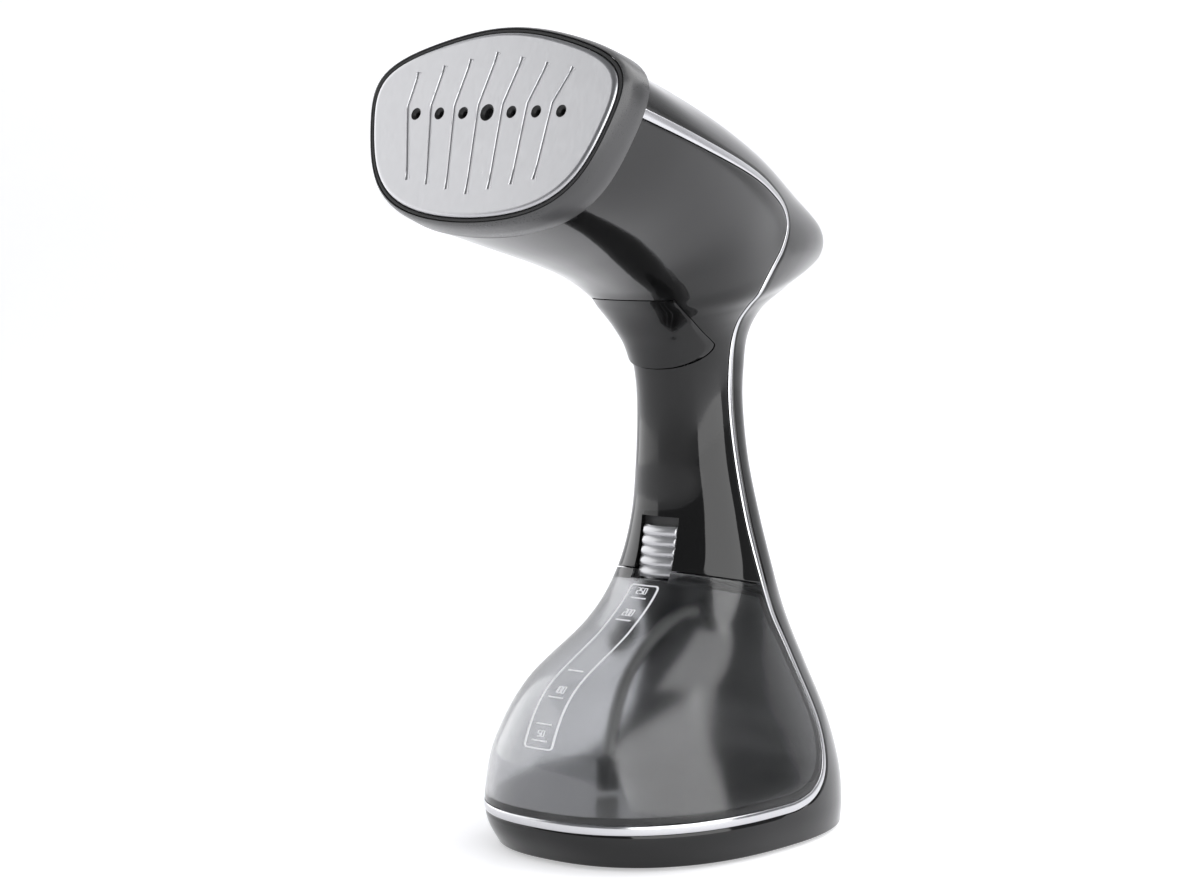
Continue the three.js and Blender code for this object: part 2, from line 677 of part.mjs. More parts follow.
// The plate that the slider runs on, with a slot for its stem.
function sliderTrack() {
  const front = sliderThickness + trackGap;
  const back = front + trackThickness;
  const [footY, footZ] = sliderPlace(0.3);
  const [topY, topZ] = sliderPlace(1.3);
  const plate = sidePrism(
    [[footY + front, footZ], [footY + back, footZ], [topY + back, topZ], [topY + front, topZ]],
    sliderWidth / 2 + 3,
  );
  const [midY, midZ] = sliderPlace(0.5);
  const slotHeight = stemHeight + sliderTravel + 2 * sliderClearance;
  const slot = box(stemWidth + 2 * sliderClearance, 12, slotHeight, [0, midY + 5, midZ + sliderTravel / 2]);
  const ledgeZ = midZ + stemHeight / 2 + springLength + 1.4;
  const ledge = box(8, 7, 1.6, [0, midY + sliderThickness + 6, ledgeZ]);
  return plate.intersect(lining).subtract(slot).add(ledge);
}

function steamTrigger() {
  const wall = bodySolid(triggerProud).subtract(bodySolid(-triggerWall));
  const paddle = wall.intersect(triggerOutline(0, triggerBack));
  const knuckle = rodX(pinRadius + knuckleWall, knuckleLength, [0, ...hinge], 14);
  return paddle.add(knuckle).subtract(rodX(pinRadius + pinClearance, 40, [0, ...hinge], 14));
}

const switchPlace = [0, 3.6 * side, 181 * side];

function triggerSwitch() {
  const [x, y, z] = switchPlace;
  const [width, depth, height] = [16, 5, 9];
  const [keyWidth, keyDepth, keyHeight] = [3, 1.4, 2];
  const key = box(keyWidth, keyDepth, keyHeight, [x - width / 4, y - 3, z]);
  return box(width, depth, height, [x, y, z]).add(key);
}

const pumpPlace = [0, 11 * side, 126 * side];

function pumpCoil() {
  const [x, y, z] = pumpPlace;
  const core = rodZ(pumpCore, pumpLength + 2, [x, y, z - 1], 16);
  return rodZ(pumpRadius, pumpLength, pumpPlace, 24).subtract(core);
}

function pumpBody() {
  const [x, y, z] = pumpPlace;
  const barrel = rodZ(5.6, pumpLength + 6, [x, y, z - 3], 16);
  const base = rodZ(8, 5, [x, y, z - 5.4], 16);
  const top = rodZ(8, 3, [x, y, z + pumpLength + 0.4], 16);
  const foot = rodZ(hoseBore, 4, [x, y, z - 9], 10);
  return barrel.add(base).add(top).add(foot).add(rodZ(hoseBore, 5, [x, y, z + pumpLength + 3], 10));
}

const pumpInletZ = (pumpPlace[2] - 9.6) / side;
const pumpOutletZ = (pumpPlace[2] + pumpLength + 8.3) / side;

// The hoses' routes in the side view: tank socket to pump, and pump to boiler inlet.
const lowerRoute = [
  [(outletPlace[1] + socketReach) / side, 80], [38.3, 80.6], [39.2, 84.5], [34.9, 92.5],
  [24.6, 101], [14.3, 108], [11, pumpInletZ],
];
const upperRoute = [
  [11, pumpOutletZ], [11.5, 172], [9, 188], [-5, 205], [-27, 220], [-50, 231], [-63.5, 236.3],
];

function powerSwitch() {
  return box(13, 5, 11, [0, 17.5 * side, buttonHeight]).add(box(3, 1.6, 3, [0, 20.2 * side, buttonHeight]));
}

const buttonDepth = 6.2;
const lensDepth = 5;
const powerButton = () => rodY(buttonRadius, buttonDepth, [0, 23 * side, buttonHeight], buttonRadius - 0.4, 20);
const indicatorLens = () => rodY(lensRadius, lensDepth, [0, 27 * side, lensHeight], undefined, 12);

add("release_slider", releaseSlider(), silver);
add("slider_track", sliderTrack(), mattBlack);
add("steam_trigger", steamTrigger(), glossBlack);
add("trigger_pin", rodX(pinRadius, pinLength, [0, ...hinge], 12), steel);
add("trigger_switch", triggerSwitch(), whitePlastic);
add("pump_coil", pumpCoil(), copper);
add("pump_body", pumpBody(), whitePlastic);
add("power_switch", powerSwitch(), mattBlack);
add("power_button", powerButton(), silver);
add("indicator_lens", indicatorLens(), redLens);
add("lower_hose", hose(lowerRoute, hoseRadius, hoseBore, 12), paleRubber);
add("upper_hose", hose(upperRoute, hoseRadius, hoseBore, 16), paleRubber);

// ---- Tank --------------------------------------------------------------------------------

// The room that the tank's top leaves under the slider, grown by the wall that closes the tank there.
function sliderNotch(wall) {
  const width = sliderWidth + 2 * (sliderClearance + wall);
  const foot = sliderFoot - sliderClearance - wall;
  return box(width, bodyHeight, bodyHeight, [0, 0, foot + bodyHeight / 2]);
}

function waterTank() {
  const room = tankRoom(tankGap);
  const cavity = inside.intersect(tankRoom(tankGap + tankWall)).subtract(sliderNotch(tankWall));
  const [x, y, z] = outletPlace;
  let tank = outside.intersect(room).subtract(sliderNotch(0)).subtract(cavity);
  tank = tank.subtract(rodY(outletRadius + 0.3, 30, [x, y - 10, z], undefined, 16));
  return tank.subtract(rodX(fillerRadius, bodyWidth, [-bodyWidth / 2, ...fillerPlace], 20));
}

function tankOutlet() {
  const [x, y, z] = outletPlace;
  const tube = rodY(outletRadius, 16, [x, y, z], outletRadius, 16);
  return tube.subtract(rodY(outletBore, 18, [x, y - 1, z], outletBore, 12));
}

function waterSocket() {
  const [x, y, z] = outletPlace;
  const mouth = rodY(outletRadius + 0.6, 5.6, [x, y + 11.5, z], undefined, 16);
  const ring = rodY(6.5, 7, [x, y + 12.5, z], 6, 18).subtract(mouth);
  return ring.add(rodY(hoseBore, 3, [x, y + 19, z], undefined, 10));
}

function fillerPlug() {
  const skin = bodySolid(trimProud).subtract(bodySolid(-shellWall - 1.5));
  const place = [-bodyWidth / 4 - 5, ...fillerPlace];
  const stopper = rodX(fillerRadius - fillerClearance, bodyWidth / 2, place, 20);
  return skin.intersect(stopper);
}

const tubeRoute = [[13.6, 80], [3, 79.5], [-12, 73], [-26, 60], [-34, 45], [-37, 33.5]];
const tubeRadius = 2.2;
const tubeBore = 1.3;
const filterRadius = 4;
const filterHeight = 11;
const filterGap = 1;
const filterPlace = [0, -37.5 * side, tubeRoute.at(-1)[1] * side - filterGap - filterHeight];

add("water_tank", waterTank(), smokyClear);
add("tank_outlet", tankOutlet(), mattBlack);
add("filler_plug", fillerPlug(), rubber);
add("suction_tube", hose(tubeRoute, tubeRadius, tubeBore, 12), paleRubber);
add("tube_filter", rodZ(filterRadius, filterHeight, filterPlace, 16), mattBlack);
add("water_socket", waterSocket(), mattBlack);

// ---- Case and base -----------------------------------------------------------------------

const boardPlace = [0, 47 * side, 43 * side];
const boardSize = [34 * across, 1.6, 38 * side];
const relaySize = [15, 8, 12];
const relayPlace = [-6, boardPlace[1] + 5.1, boardPlace[2] - 4];
const capacitorRadius = 4;
const capacitorLength = 9;
const capacitorPlace = [10, boardPlace[1] + 1.1, boardPlace[2] - 8];

add("front_shell", frontShell(), glossBlack);
add("rear_shell", rearShell(), glossBlack);
add("trim_strip", trimStrip(), brightMetal);
add("tank_bay_liner", tankBayLiner(), mattBlack);
add("bottom_cover", bottomCover(), mattBlack);
add("rubber_foot", rubberFoot(), rubber);
add("circuit_board", box(...boardSize, boardPlace), boardGreen);
add("board_relay", box(...relaySize, relayPlace), componentBlue);
add("board_capacitor", rodY(capacitorRadius, capacitorLength, capacitorPlace, undefined, 14), mattBlack);
add("cord_gland", cordGland(), rubber).position.set(0, 61 * side, glandHeight);
screwPlaces.forEach(([x, y], i) => {
  add(`base_screw_${i + 1}`, screw(7), steel).position.set(x, y, rimHeight + 0.6);
});
const springFrom = (length) => coilSpring(springRadius, springWire, length, springTurns);
const sliderSpring = add("slider_spring", springFrom(springLength), steel);
const [sliderMiddleY, sliderMiddleZ] = sliderPlace(0.5);
sliderSpring.position.set(
  0, sliderMiddleY + sliderThickness + 6.6, sliderMiddleZ + stemHeight / 2 + assemblyGap,
);
const triggerSpring = add("trigger_spring", springFrom(triggerSpringLength), steel);
triggerSpring.rotation.x = -Math.PI / 2;
triggerSpring.position.set(6 * across, -triggerSpringLength, 178 * side);

export default steamer;
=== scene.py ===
"""Garment steamer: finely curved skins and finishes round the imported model, in metres."""

import json
from math import radians

import bpy
import numpy as np
from mathutils import Matrix, Vector


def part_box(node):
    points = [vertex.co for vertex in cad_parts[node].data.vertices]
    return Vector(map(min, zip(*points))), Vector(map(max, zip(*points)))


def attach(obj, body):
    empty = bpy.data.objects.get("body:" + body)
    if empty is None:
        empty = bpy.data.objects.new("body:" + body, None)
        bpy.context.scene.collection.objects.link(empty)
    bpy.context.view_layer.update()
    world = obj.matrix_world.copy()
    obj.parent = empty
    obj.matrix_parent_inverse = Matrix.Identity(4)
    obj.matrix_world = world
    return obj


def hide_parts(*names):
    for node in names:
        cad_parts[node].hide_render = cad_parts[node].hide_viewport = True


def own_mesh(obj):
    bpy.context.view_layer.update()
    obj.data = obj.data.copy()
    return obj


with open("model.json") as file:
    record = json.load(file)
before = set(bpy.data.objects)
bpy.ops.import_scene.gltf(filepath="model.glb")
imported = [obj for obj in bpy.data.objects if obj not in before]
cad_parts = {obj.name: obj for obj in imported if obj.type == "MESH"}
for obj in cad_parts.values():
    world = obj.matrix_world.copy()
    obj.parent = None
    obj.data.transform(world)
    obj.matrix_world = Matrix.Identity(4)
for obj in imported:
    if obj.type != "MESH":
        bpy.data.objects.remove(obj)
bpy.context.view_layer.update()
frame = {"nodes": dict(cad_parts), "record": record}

MM = 0.001
CASE, TANK, PLUG, SLIDER, TRIGGER, BUTTON = (
    "case", "water_tank_body", "plug_body", "slider_body", "trigger_body", "button_body")

# ---- Body: cross sections from the foot, up the handle and along the head, in millimetres ----
# front y, front z, rear y, rear z, half-width, skew, roundness, share of the soleplate's outline
SECTIONS = np.array([
    (-68.8, 0, 68.8, 0, 51.7, 0, 2.4, 0), (-75.5, 11, 68.5, 11, 53.8, 0, 2.4, 0),
    (-77, 24, 68, 24, 52.5, 0, 2.38, 0), (-75.5, 41, 65.5, 41, 47.3, 0, 2.33, 0),
    (-63, 61, 58.5, 60, 39, 0, 2.28, 0), (-32.5, 79, 48.5, 79, 32, 0, 2.22, 0),
    (-15, 95, 39.5, 97, 28.8, 0, 2.2, 0), (-9, 115, 34.5, 116, 24.1, 0, 2.2, 0),
    (-8.5, 137, 30, 137, 20.7, 0, 2.2, 0), (-8.8, 157, 27.6, 157, 19.3, 0, 2.2, 0),
    (-11, 169.5, 28.5, 171, 19.2, 0, 2.2, 0), (-14, 178, 33, 184, 19.8, -0.1, 2.2, 0),
    (-17.5, 184, 46, 194, 21, -0.3, 2.2, 0), (-21, 189, 68, 202.5, 23, -0.5, 2.2, 0),
    (-24.5, 192.5, 87, 211, 25.5, -0.6, 2.2, 0), (-29, 195.8, 84, 222, 29, -0.45, 2.2, 0),
    (-35.5, 199.6, 58, 236, 34.5, -0.22, 2.2, 0), (-46, 203.8, 26, 250.5, 41, 0.02, 2.2, 0.1),
    (-62, 208.8, -10, 264, 47.5, 0.15, 2.25, 0.25), (-81, 214, -45, 276, 53, 0.18, 2.3, 0.5),
    (-101.2, 219.8, -77.7, 286.3, 57, 0.16, 2.4, 0.9)], float)
LAST = len(SECTIONS) - 1

# The trim's middle line in the side view and its width: head, tail, handle, tank edge, base.
TRIM_LINE = np.array([
    (-115, 268, 3.2), (-85, 260.6, 3.2), (-47, 251.2, 3.1), (-8, 241.8, 2.8), (12, 235.2, 2.4),
    (24, 229.6, 2.1), (28.5, 223, 2), (25.5, 215.5, 2), (18, 207, 2), (13, 198.5, 2),
    (10.4, 187, 2), (9, 173, 2.1), (9.2, 155, 2.2), (11.3, 135, 2.2), (13.4, 113, 2.3),
    (15.4, 96, 2.4), (19.4, 83, 2.4), (26.2, 68, 2.4), (31, 52, 2.4), (31.8, 38, 2.5),
    (27.5, 26.5, 2.7), (19, 19.6, 3), (7, 16.4, 3.2), (-10, 15.8, 3.2), (-60, 15.8, 3.2),
    (-110, 15.8, 3.2)], float)
TRIM_START, TRIM_END = 0.93, 22.6  # the rows between which it runs in the side view
BASE_TRIM_Z = 15.8
BASE_TRIM_WIDTH = 3.2
SEAM_Y, SEAM_Z, SEAM_SLOPE = -13.5, 98.8, -0.21  # the tank's top edge, a sloping plane
GAP = 0.3  # between the case's pieces
WALL = 2.2
TANK_GAP = 0.4
HALVINGS = 44  # steps of every search by halving

# The soleplate's six sides about the row of holes: direction from straight up, and distance.
FACE_SIDES = ((15.6, 29.9), (105.2, 50.3), (166, 39.1))
FACE_ROUNDING = 5.4
FACE_CENTRE = (-100.1, 261.8)
FACE_TILT = radians(19.1)


def catmull(table, at):
    """Smooth curve through the table's rows: each span is the uniform Catmull-Rom cubic of the
    four rows round it, and the ends carry on in a straight line."""
    rows = np.vstack([2 * table[0] - table[1], table, 2 * table[-1] - table[-2]])
    at = np.clip(np.asarray(at, float), 0, len(table) - 1)
    i = np.minimum(at.astype(int), len(table) - 2)
    t = (at - i)[..., None]
    a, b, c, d = rows[i], rows[i + 1], rows[i + 2], rows[i + 3]
    return 0.5 * (2 * b + (c - a) * t + (2 * a - 5 * b + 4 * c - d) * t**2
                  + (3 * b - a - 3 * c + d) * t**3)


def face_outline(angle, grow=0.0):
    """Soleplate outline: the distance is the rounded minimum of the distances to the six sides."""
    angle = np.asarray(angle, float)
    total = 0
    for direction, distance in FACE_SIDES:
        for sign in (-1, 1):
            lean = np.cos(angle - sign * radians(direction)) / (distance + grow)
            total = total + np.maximum(lean, 0) ** FACE_ROUNDING
    reach = total ** (-1 / FACE_ROUNDING)
    return reach * np.sin(angle), reach * np.cos(angle)


FACE_TOP = float(face_outline(0.0)[1])
FACE_BOTTOM = float(face_outline(np.pi)[1])
FACE_HALF = float(face_outline(np.linspace(0, np.pi, 181))[0].max())


def section_shape(row, phi):
    """Skewed superellipse mixed with the soleplate's outline: gives x, as a share of the
    half-width, and the place from -1 at the front to 1 at the rear."""
    skew, power, face = (row[..., k] for k in (5, 6, 7))

    def flattened(value):
        return np.sign(value) * np.abs(value) ** (2 / power)

    along = flattened(-np.cos(phi))
    out = flattened(np.sin(phi)) * (1 + skew * along)
    face_x, face_up = face_outline(np.pi - phi)
    face_along = 2 * (face_up - FACE_BOTTOM) / (FACE_TOP - FACE_BOTTOM) - 1
    return out + (face_x / FACE_HALF - out) * face, along + (face_along - along) * face


def body_point(u, phi, grow=0.0):
    """Point on the body: section u, at angle phi from its front point, pushed out by grow."""
    u, phi, grow = np.broadcast_arrays(np.asarray(u, float), phi, grow)
    row = catmull(SECTIONS, u)
    x, along = section_shape(row, phi)
    reach = (row[..., 2:4] - row[..., 0:2]) / 2
    length = np.hypot(reach[..., 0], reach[..., 1])
    middle = (row[..., 0:2] + row[..., 2:4]) / 2
    yz = middle + reach * (along * (length + grow) / length)[..., None]
    return np.stack([x * (row[..., 4] + grow), yz[..., 0], yz[..., 1]], -1)


def surface_place(y, z):
    """Section and angle of the side-view point (y, z): the section line that passes through it,
    then the angle whose share along that line is the point's, both by halving."""
    y, z = np.asarray(y, float), np.asarray(z, float)
    parts = 40
    steps = np.linspace(0, LAST, parts * LAST + 1)
    line = catmull(SECTIONS, steps)
    ry, rz = line[:, 2] - line[:, 0], line[:, 3] - line[:, 1]
    py, pz = y[..., None] - line[:, 0], z[..., None] - line[:, 1]
    side = ry * pz - rz * py
    share = (ry * py + rz * pz) / (ry**2 + rz**2)
    inside = np.abs(share[..., :-1] - 0.5) < 0.56  # on the section line or just past its ends
    crossing = (side[..., :-1] >= 0) & (side[..., 1:] < 0) & inside
    found = crossing.any(-1)
    k = np.where(found, crossing.argmax(-1), parts * LAST - 1)
    here = np.take_along_axis(side, k[..., None], -1)[..., 0]
    after = np.take_along_axis(side, k[..., None] + 1, -1)[..., 0]
    part = np.where(found, here / (here - after + 1e-12), 1.0)
    u = steps[k] + part * (steps[1] - steps[0])
    row = catmull(SECTIONS, u)
    reach = row[..., 2:4] - row[..., 0:2]
    want = 2 * (reach[..., 0] * (y - row[..., 0]) + reach[..., 1] * (z - row[..., 1])) / (
        reach**2).sum(-1) - 1
    low, high = np.zeros_like(u), np.full_like(u, np.pi)
    for _ in range(HALVINGS):
        mid = (low + high) / 2
        less = section_shape(row, mid)[1] < want
        low, high = np.where(less, mid, low), np.where(less, high, mid)
    return u, (low + high) / 2


def trim_side_view(steps):
    """The trim's side part: middle points, left-hand normals and widths of its smooth line."""
    at, step = np.linspace(TRIM_START, TRIM_END, steps), 0.01
    line = catmull(TRIM_LINE, at)
    ahead, back = catmull(TRIM_LINE, at + step), catmull(TRIM_LINE, at - step)
    way = (ahead - back)[:, :2]
    way /= np.linalg.norm(way, axis=1)[:, None]
    return line[:, :2], np.stack([-way[:, 1], way[:, 0]], 1), line[:, 2]


def border(which, past):
    """A border beside the trim, as sections and angles: which is -1 for the trim's front edge and
    1 for its rear one, and past moves on towards the rear."""
    middle, normal, width = trim_side_view(900)
    place = middle + normal * (which * width / 2 + past)[:, None]
    return surface_place(place[:, 0], place[:, 1])


def side_angle(which, past):
    """The border as a function that gives its angle at a section."""
    u, phi = border(which, past)
    order = np.argsort(u)
    u, phi = u[order], phi[order]
    return lambda at: np.interp(at, u, phi)


def section_at_height(z):
    """Section whose plane lies at a height in the base, where all sections are level."""
    steps = np.linspace(0, 3, 601)  # the base's sections
    return float(np.interp(z, catmull(SECTIONS, steps)[:, 1], steps))


def seam_section(share, angle_at, raised):
    """Section where each column of a patch meets the seam between handle and tank, by halving
    between a section below the seam and one above it."""
    below_seam, above_seam = 3.5, 8.5
    low, high = np.full_like(share, below_seam), np.full_like(share, above_seam)
    for _ in range(HALVINGS):
        mid = (low + high) / 2
        point = body_point(mid, share * angle_at(mid))
        below = point[..., 2] < SEAM_Z + raised + SEAM_SLOPE * (point[..., 1] - SEAM_Y)
        low, high = np.where(below, mid, low), np.where(below, high, mid)
    return (low + high) / 2


# ---- Meshes --------------------------------------------------------------------------------

def signed_volume(points, quads):
    """Six times the volume inside the quads: the sum of the triple products of their halves."""
    a, b, c, d = (points[quads[:, k]] for k in range(4))
    return np.einsum("ij,ij->i", a, np.cross(b, c) + np.cross(c, d)).sum()


def piece(name, points, faces, look, body, replaces=(), sharp=40, slot=None):
    """A finished object at the origin, from points in millimetres and rows of point numbers,
    with smooth faces and edges that are sharp past an angle in degrees."""
    mesh = bpy.data.meshes.new(name)
    mesh.from_pydata((np.asarray(points) * MM).tolist(), [], [list(f) for f in faces])
    mesh.validate()
    made = bpy.data.objects.new(name, mesh)
    bpy.context.scene.collection.objects.link(made)
    settle(made, look, sharp)
    if body:
        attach(made, body)
        if replaces:
            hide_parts(*replaces)
    return made


def settle(made, look, sharp):
    """Give a mesh its one finish and its smooth and sharp edges."""
    made.data.materials.clear()
    if look:
        made.data.materials.append(look)
    made.data.polygons.foreach_set("use_smooth", np.ones(len(made.data.polygons), bool))
    made.data.set_sharp_from_angle(angle=radians(sharp))
    made.data.update()


def thick_grid(outer, inner, mask=None, wrap=False):
    """A wall between two grids of points: the cells of both, and a strip round every open edge."""
    rows, cols = outer.shape[:2]
    spans = cols if wrap else cols - 1
    mask = np.ones((rows - 1, spans), bool) if mask is None else mask
    number = np.arange(rows * cols).reshape(rows, cols)
    right = np.roll(number, -1, 1)[:, :spans]
    left = number[:, :spans]
    corners = np.stack([left[:-1], right[:-1], right[1:], left[1:]], -1)
    far = rows * cols
    quads = [corners[mask], corners[mask][:, ::-1] + far]
    padded = np.pad(mask, ((1, 1), (0, 0)))
    sides = np.pad(mask, ((0, 0), (1, 1)), mode="wrap" if wrap else "constant")
    beside = (padded[:-2], sides[:, 2:], padded[2:], sides[:, :-2])
    for k, neighbour in enumerate(beside):
        edge = corners[mask & ~neighbour]
        a, b = edge[:, k], edge[:, (k + 1) % 4]
        quads.append(np.stack([b, a, a + far, b + far], 1))
    return outward(np.concatenate([outer.reshape(-1, 3), inner.reshape(-1, 3)]),
                   np.concatenate(quads))


def outward(points, quads):
    """Drop the points that no face uses, and turn the faces outwards."""
    used, renumbered = np.unique(quads, return_inverse=True)
    points, quads = points[used], renumbered.reshape(quads.shape)
    return points, quads if signed_volume(points, quads) > 0 else quads[:, ::-1]


def ring_solid(rings):
    """A closed solid skinned over rings of points, each end drawn in to one middle point."""
    rings = np.asarray(rings, float)
    rows, cols = rings.shape[:2]
    number = np.arange(rows * cols).reshape(rows, cols)
    after = np.roll(number, -1, 1)
    quads = np.stack([number[:-1], after[:-1], after[1:], number[1:]], -1).reshape(-1, 4)
    points = np.concatenate([rings.reshape(-1, 3), rings[0].mean(0)[None], rings[-1].mean(0)[None]])
    first = np.stack([after[0], number[0], np.full(cols, rows * cols)], 1)
    last = np.stack([number[-1], after[-1], np.full(cols, rows * cols + 1)], 1)
    flip = signed_volume(points, quads) + sum(
        np.einsum("ij,ij->", points[f[:, 0]], np.cross(points[f[:, 1]], points[f[:, 2]]))
        for f in (first, last)) < 0
    faces = [q.tolist() for q in (quads, first, last)]
    faces = faces[0] + faces[1] + faces[2]
    return points, [f[::-1] for f in faces] if flip else faces


def hoop(rings):
    """A closed band: rings that also join last to first."""
    rings = np.asarray(rings, float)
    rows, cols = rings.shape[:2]
    number = np.arange(rows * cols).reshape(rows, cols)
    after, over = np.roll(number, -1, 1), np.roll(number, -1, 0)
    quads = np.stack([number, after, np.roll(after, -1, 0), over], -1).reshape(-1, 4)
    return outward(rings.reshape(-1, 3), quads)


def together(parts):
    """Several meshes as one: each one's faces are numbered on from the points before it."""
    points, faces, total = [], [], 0
    for place, shape in parts:
        points.append(place)
        faces += [[k + total for k in face] for face in shape]
        total += len(place)
    return np.concatenate(points), faces


def turned_y(profile, centre, count=64):
    """A profile of (radius, y) pairs turned about an axis along y through centre."""
    angle = np.linspace(0, 2 * np.pi, count, endpoint=False)
    radius, y = np.array(profile, float).T
    ring = np.stack([radius[:, None] * np.cos(angle), np.repeat(y[:, None], count, 1),
                     radius[:, None] * np.sin(angle)], -1)
    return ring + np.array([centre[0], 0, centre[1]])


def tool(points, faces):
    """A cutter: a closed mesh with no finish, which rides on nothing."""
    return piece("cutter", points, faces, None, None)


def cut(made, cutter, look, sharp=40, operation="DIFFERENCE"):
    """Cut a piece with a cutter for good, then drop the cutter."""
    change = made.modifiers.new("cut", "BOOLEAN")
    change.operation, change.object, change.solver = operation, cutter, "EXACT"
    graph = bpy.context.evaluated_depsgraph_get()
    mesh = bpy.data.meshes.new_from_object(made.evaluated_get(graph))
    made.modifiers.clear()
    made.data = mesh
    bpy.data.objects.remove(cutter)
    settle(made, look, sharp)


def side_outline(corners, depth_from, depth_to):
    """A front-view outline of x and z carried along y, as a closed cutter."""
    x, z = np.array(corners, float).T
    rings = [np.stack([x, np.full_like(x, y), z], 1) for y in (depth_from, depth_to)]
    return ring_solid(rings)


def brick(low, high):
    """A closed box between two corners."""
    x0, y0, z0 = low
    x1, y1, z1 = high
    return side_outline([(x0, z0), (x1, z0), (x1, z1), (x0, z1)], y0, y1)


# ---- Finishes ------------------------------------------------------------------------------

def surface_group():
    """Colour, roughness and relief of a moulded or metal surface: slow cloudy noise mixes the two
    colours and the two roughnesses, and fine noise, stretched along one way, gives the relief."""
    group = bpy.data.node_groups.new("surface detail", "ShaderNodeTree")
    face = group.interface
    for name in ("Colour", "Second colour"):
        face.new_socket(name, in_out="INPUT", socket_type="NodeSocketColor")
    for name in ("Smooth", "Rough", "Cloud size", "Grain size", "Relief"):
        face.new_socket(name, in_out="INPUT", socket_type="NodeSocketFloat")
    face.new_socket("Stretch", in_out="INPUT", socket_type="NodeSocketVector")
    face.new_socket("Colour", in_out="OUTPUT", socket_type="NodeSocketColor")
    face.new_socket("Roughness", in_out="OUTPUT", socket_type="NodeSocketFloat")
    face.new_socket("Normal", in_out="OUTPUT", socket_type="NodeSocketVector")
    node, link = group.nodes.new, group.links.new
    given, result = node("NodeGroupInput"), node("NodeGroupOutput")
    place = node("ShaderNodeTexCoord")
    cloud, grain = node("ShaderNodeTexNoise"), node("ShaderNodeTexNoise")
    cloud.inputs["Detail"].default_value = 4
    grain.inputs["Detail"].default_value = 3
    stretch = node("ShaderNodeVectorMath")
    stretch.operation = "MULTIPLY"
    link(place.outputs["Object"], stretch.inputs[0])
    link(given.outputs["Stretch"], stretch.inputs[1])
    link(place.outputs["Object"], cloud.inputs["Vector"])
    link(stretch.outputs[0], grain.inputs["Vector"])
    link(given.outputs["Cloud size"], cloud.inputs["Scale"])
    link(given.outputs["Grain size"], grain.inputs["Scale"])
    colour = node("ShaderNodeMix")
    colour.data_type = "RGBA"
    link(cloud.outputs["Fac"], colour.inputs["Factor"])
    link(given.outputs["Colour"], colour.inputs["A"])
    link(given.outputs["Second colour"], colour.inputs["B"])
    rough = node("ShaderNodeMapRange")
    blend = node("ShaderNodeMath")
    blend.operation = "MULTIPLY_ADD"
    blend.inputs[1].default_value = 0.5
    link(grain.outputs["Fac"], blend.inputs[0])
    half = node("ShaderNodeMath")
    half.operation = "MULTIPLY"
    half.inputs[1].default_value = 0.5
    link(cloud.outputs["Fac"], half.inputs[0])
    link(half.outputs[0], blend.inputs[2])
    rough.inputs["From Min"].default_value = 0.3
    rough.inputs["From Max"].default_value = 0.7
    link(blend.outputs[0], rough.inputs["Value"])
    link(given.outputs["Smooth"], rough.inputs["To Min"])
    link(given.outputs["Rough"], rough.inputs["To Max"])
    bump = node("ShaderNodeBump")
    bump.inputs["Distance"].default_value = 0.0004  # metres
    link(given.outputs["Relief"], bump.inputs["Strength"])
    link(grain.outputs["Fac"], bump.inputs["Height"])
    link(colour.outputs["Result"], result.inputs["Colour"])
    link(rough.outputs["Result"], result.inputs["Roughness"])
    link(bump.outputs["Normal"], result.inputs["Normal"])
    return group


SURFACE = surface_group()


def finish(name, colour, second, rough, relief, metallic=0.0, cloud=40, grain=900,
           stretch=(1, 1, 1), **constants):
    """A finish from the surface group, with its plain values on the shader's own sockets: two
    colours, the least and most roughness, and the sizes of its cloud and grain per metre."""
    material = bpy.data.materials.new(name)
    material.use_nodes = True
    tree = material.node_tree
    shader = tree.nodes["Principled BSDF"]
    detail = tree.nodes.new("ShaderNodeGroup")
    detail.node_tree = SURFACE
    detail.inputs["Colour"].default_value = (*colour, 1)
    detail.inputs["Second colour"].default_value = (*second, 1)
    for socket, value in (("Smooth", rough[0]), ("Rough", rough[1]), ("Cloud size", cloud),
                          ("Grain size", grain), ("Relief", relief)):
        detail.inputs[socket].default_value = value
    detail.inputs["Stretch"].default_value = stretch
    tree.links.new(detail.outputs["Colour"], shader.inputs["Base Color"])
    tree.links.new(detail.outputs["Roughness"], shader.inputs["Roughness"])
    tree.links.new(detail.outputs["Normal"], shader.inputs["Normal"])
    shader.inputs["Metallic"].default_value = metallic
    for socket, value in constants.items():
        shader.inputs[socket.replace("_", " ")].default_value = value
    return material


def grey(value):
    """A faintly cool grey."""
    return (value, value, value * 1.03)


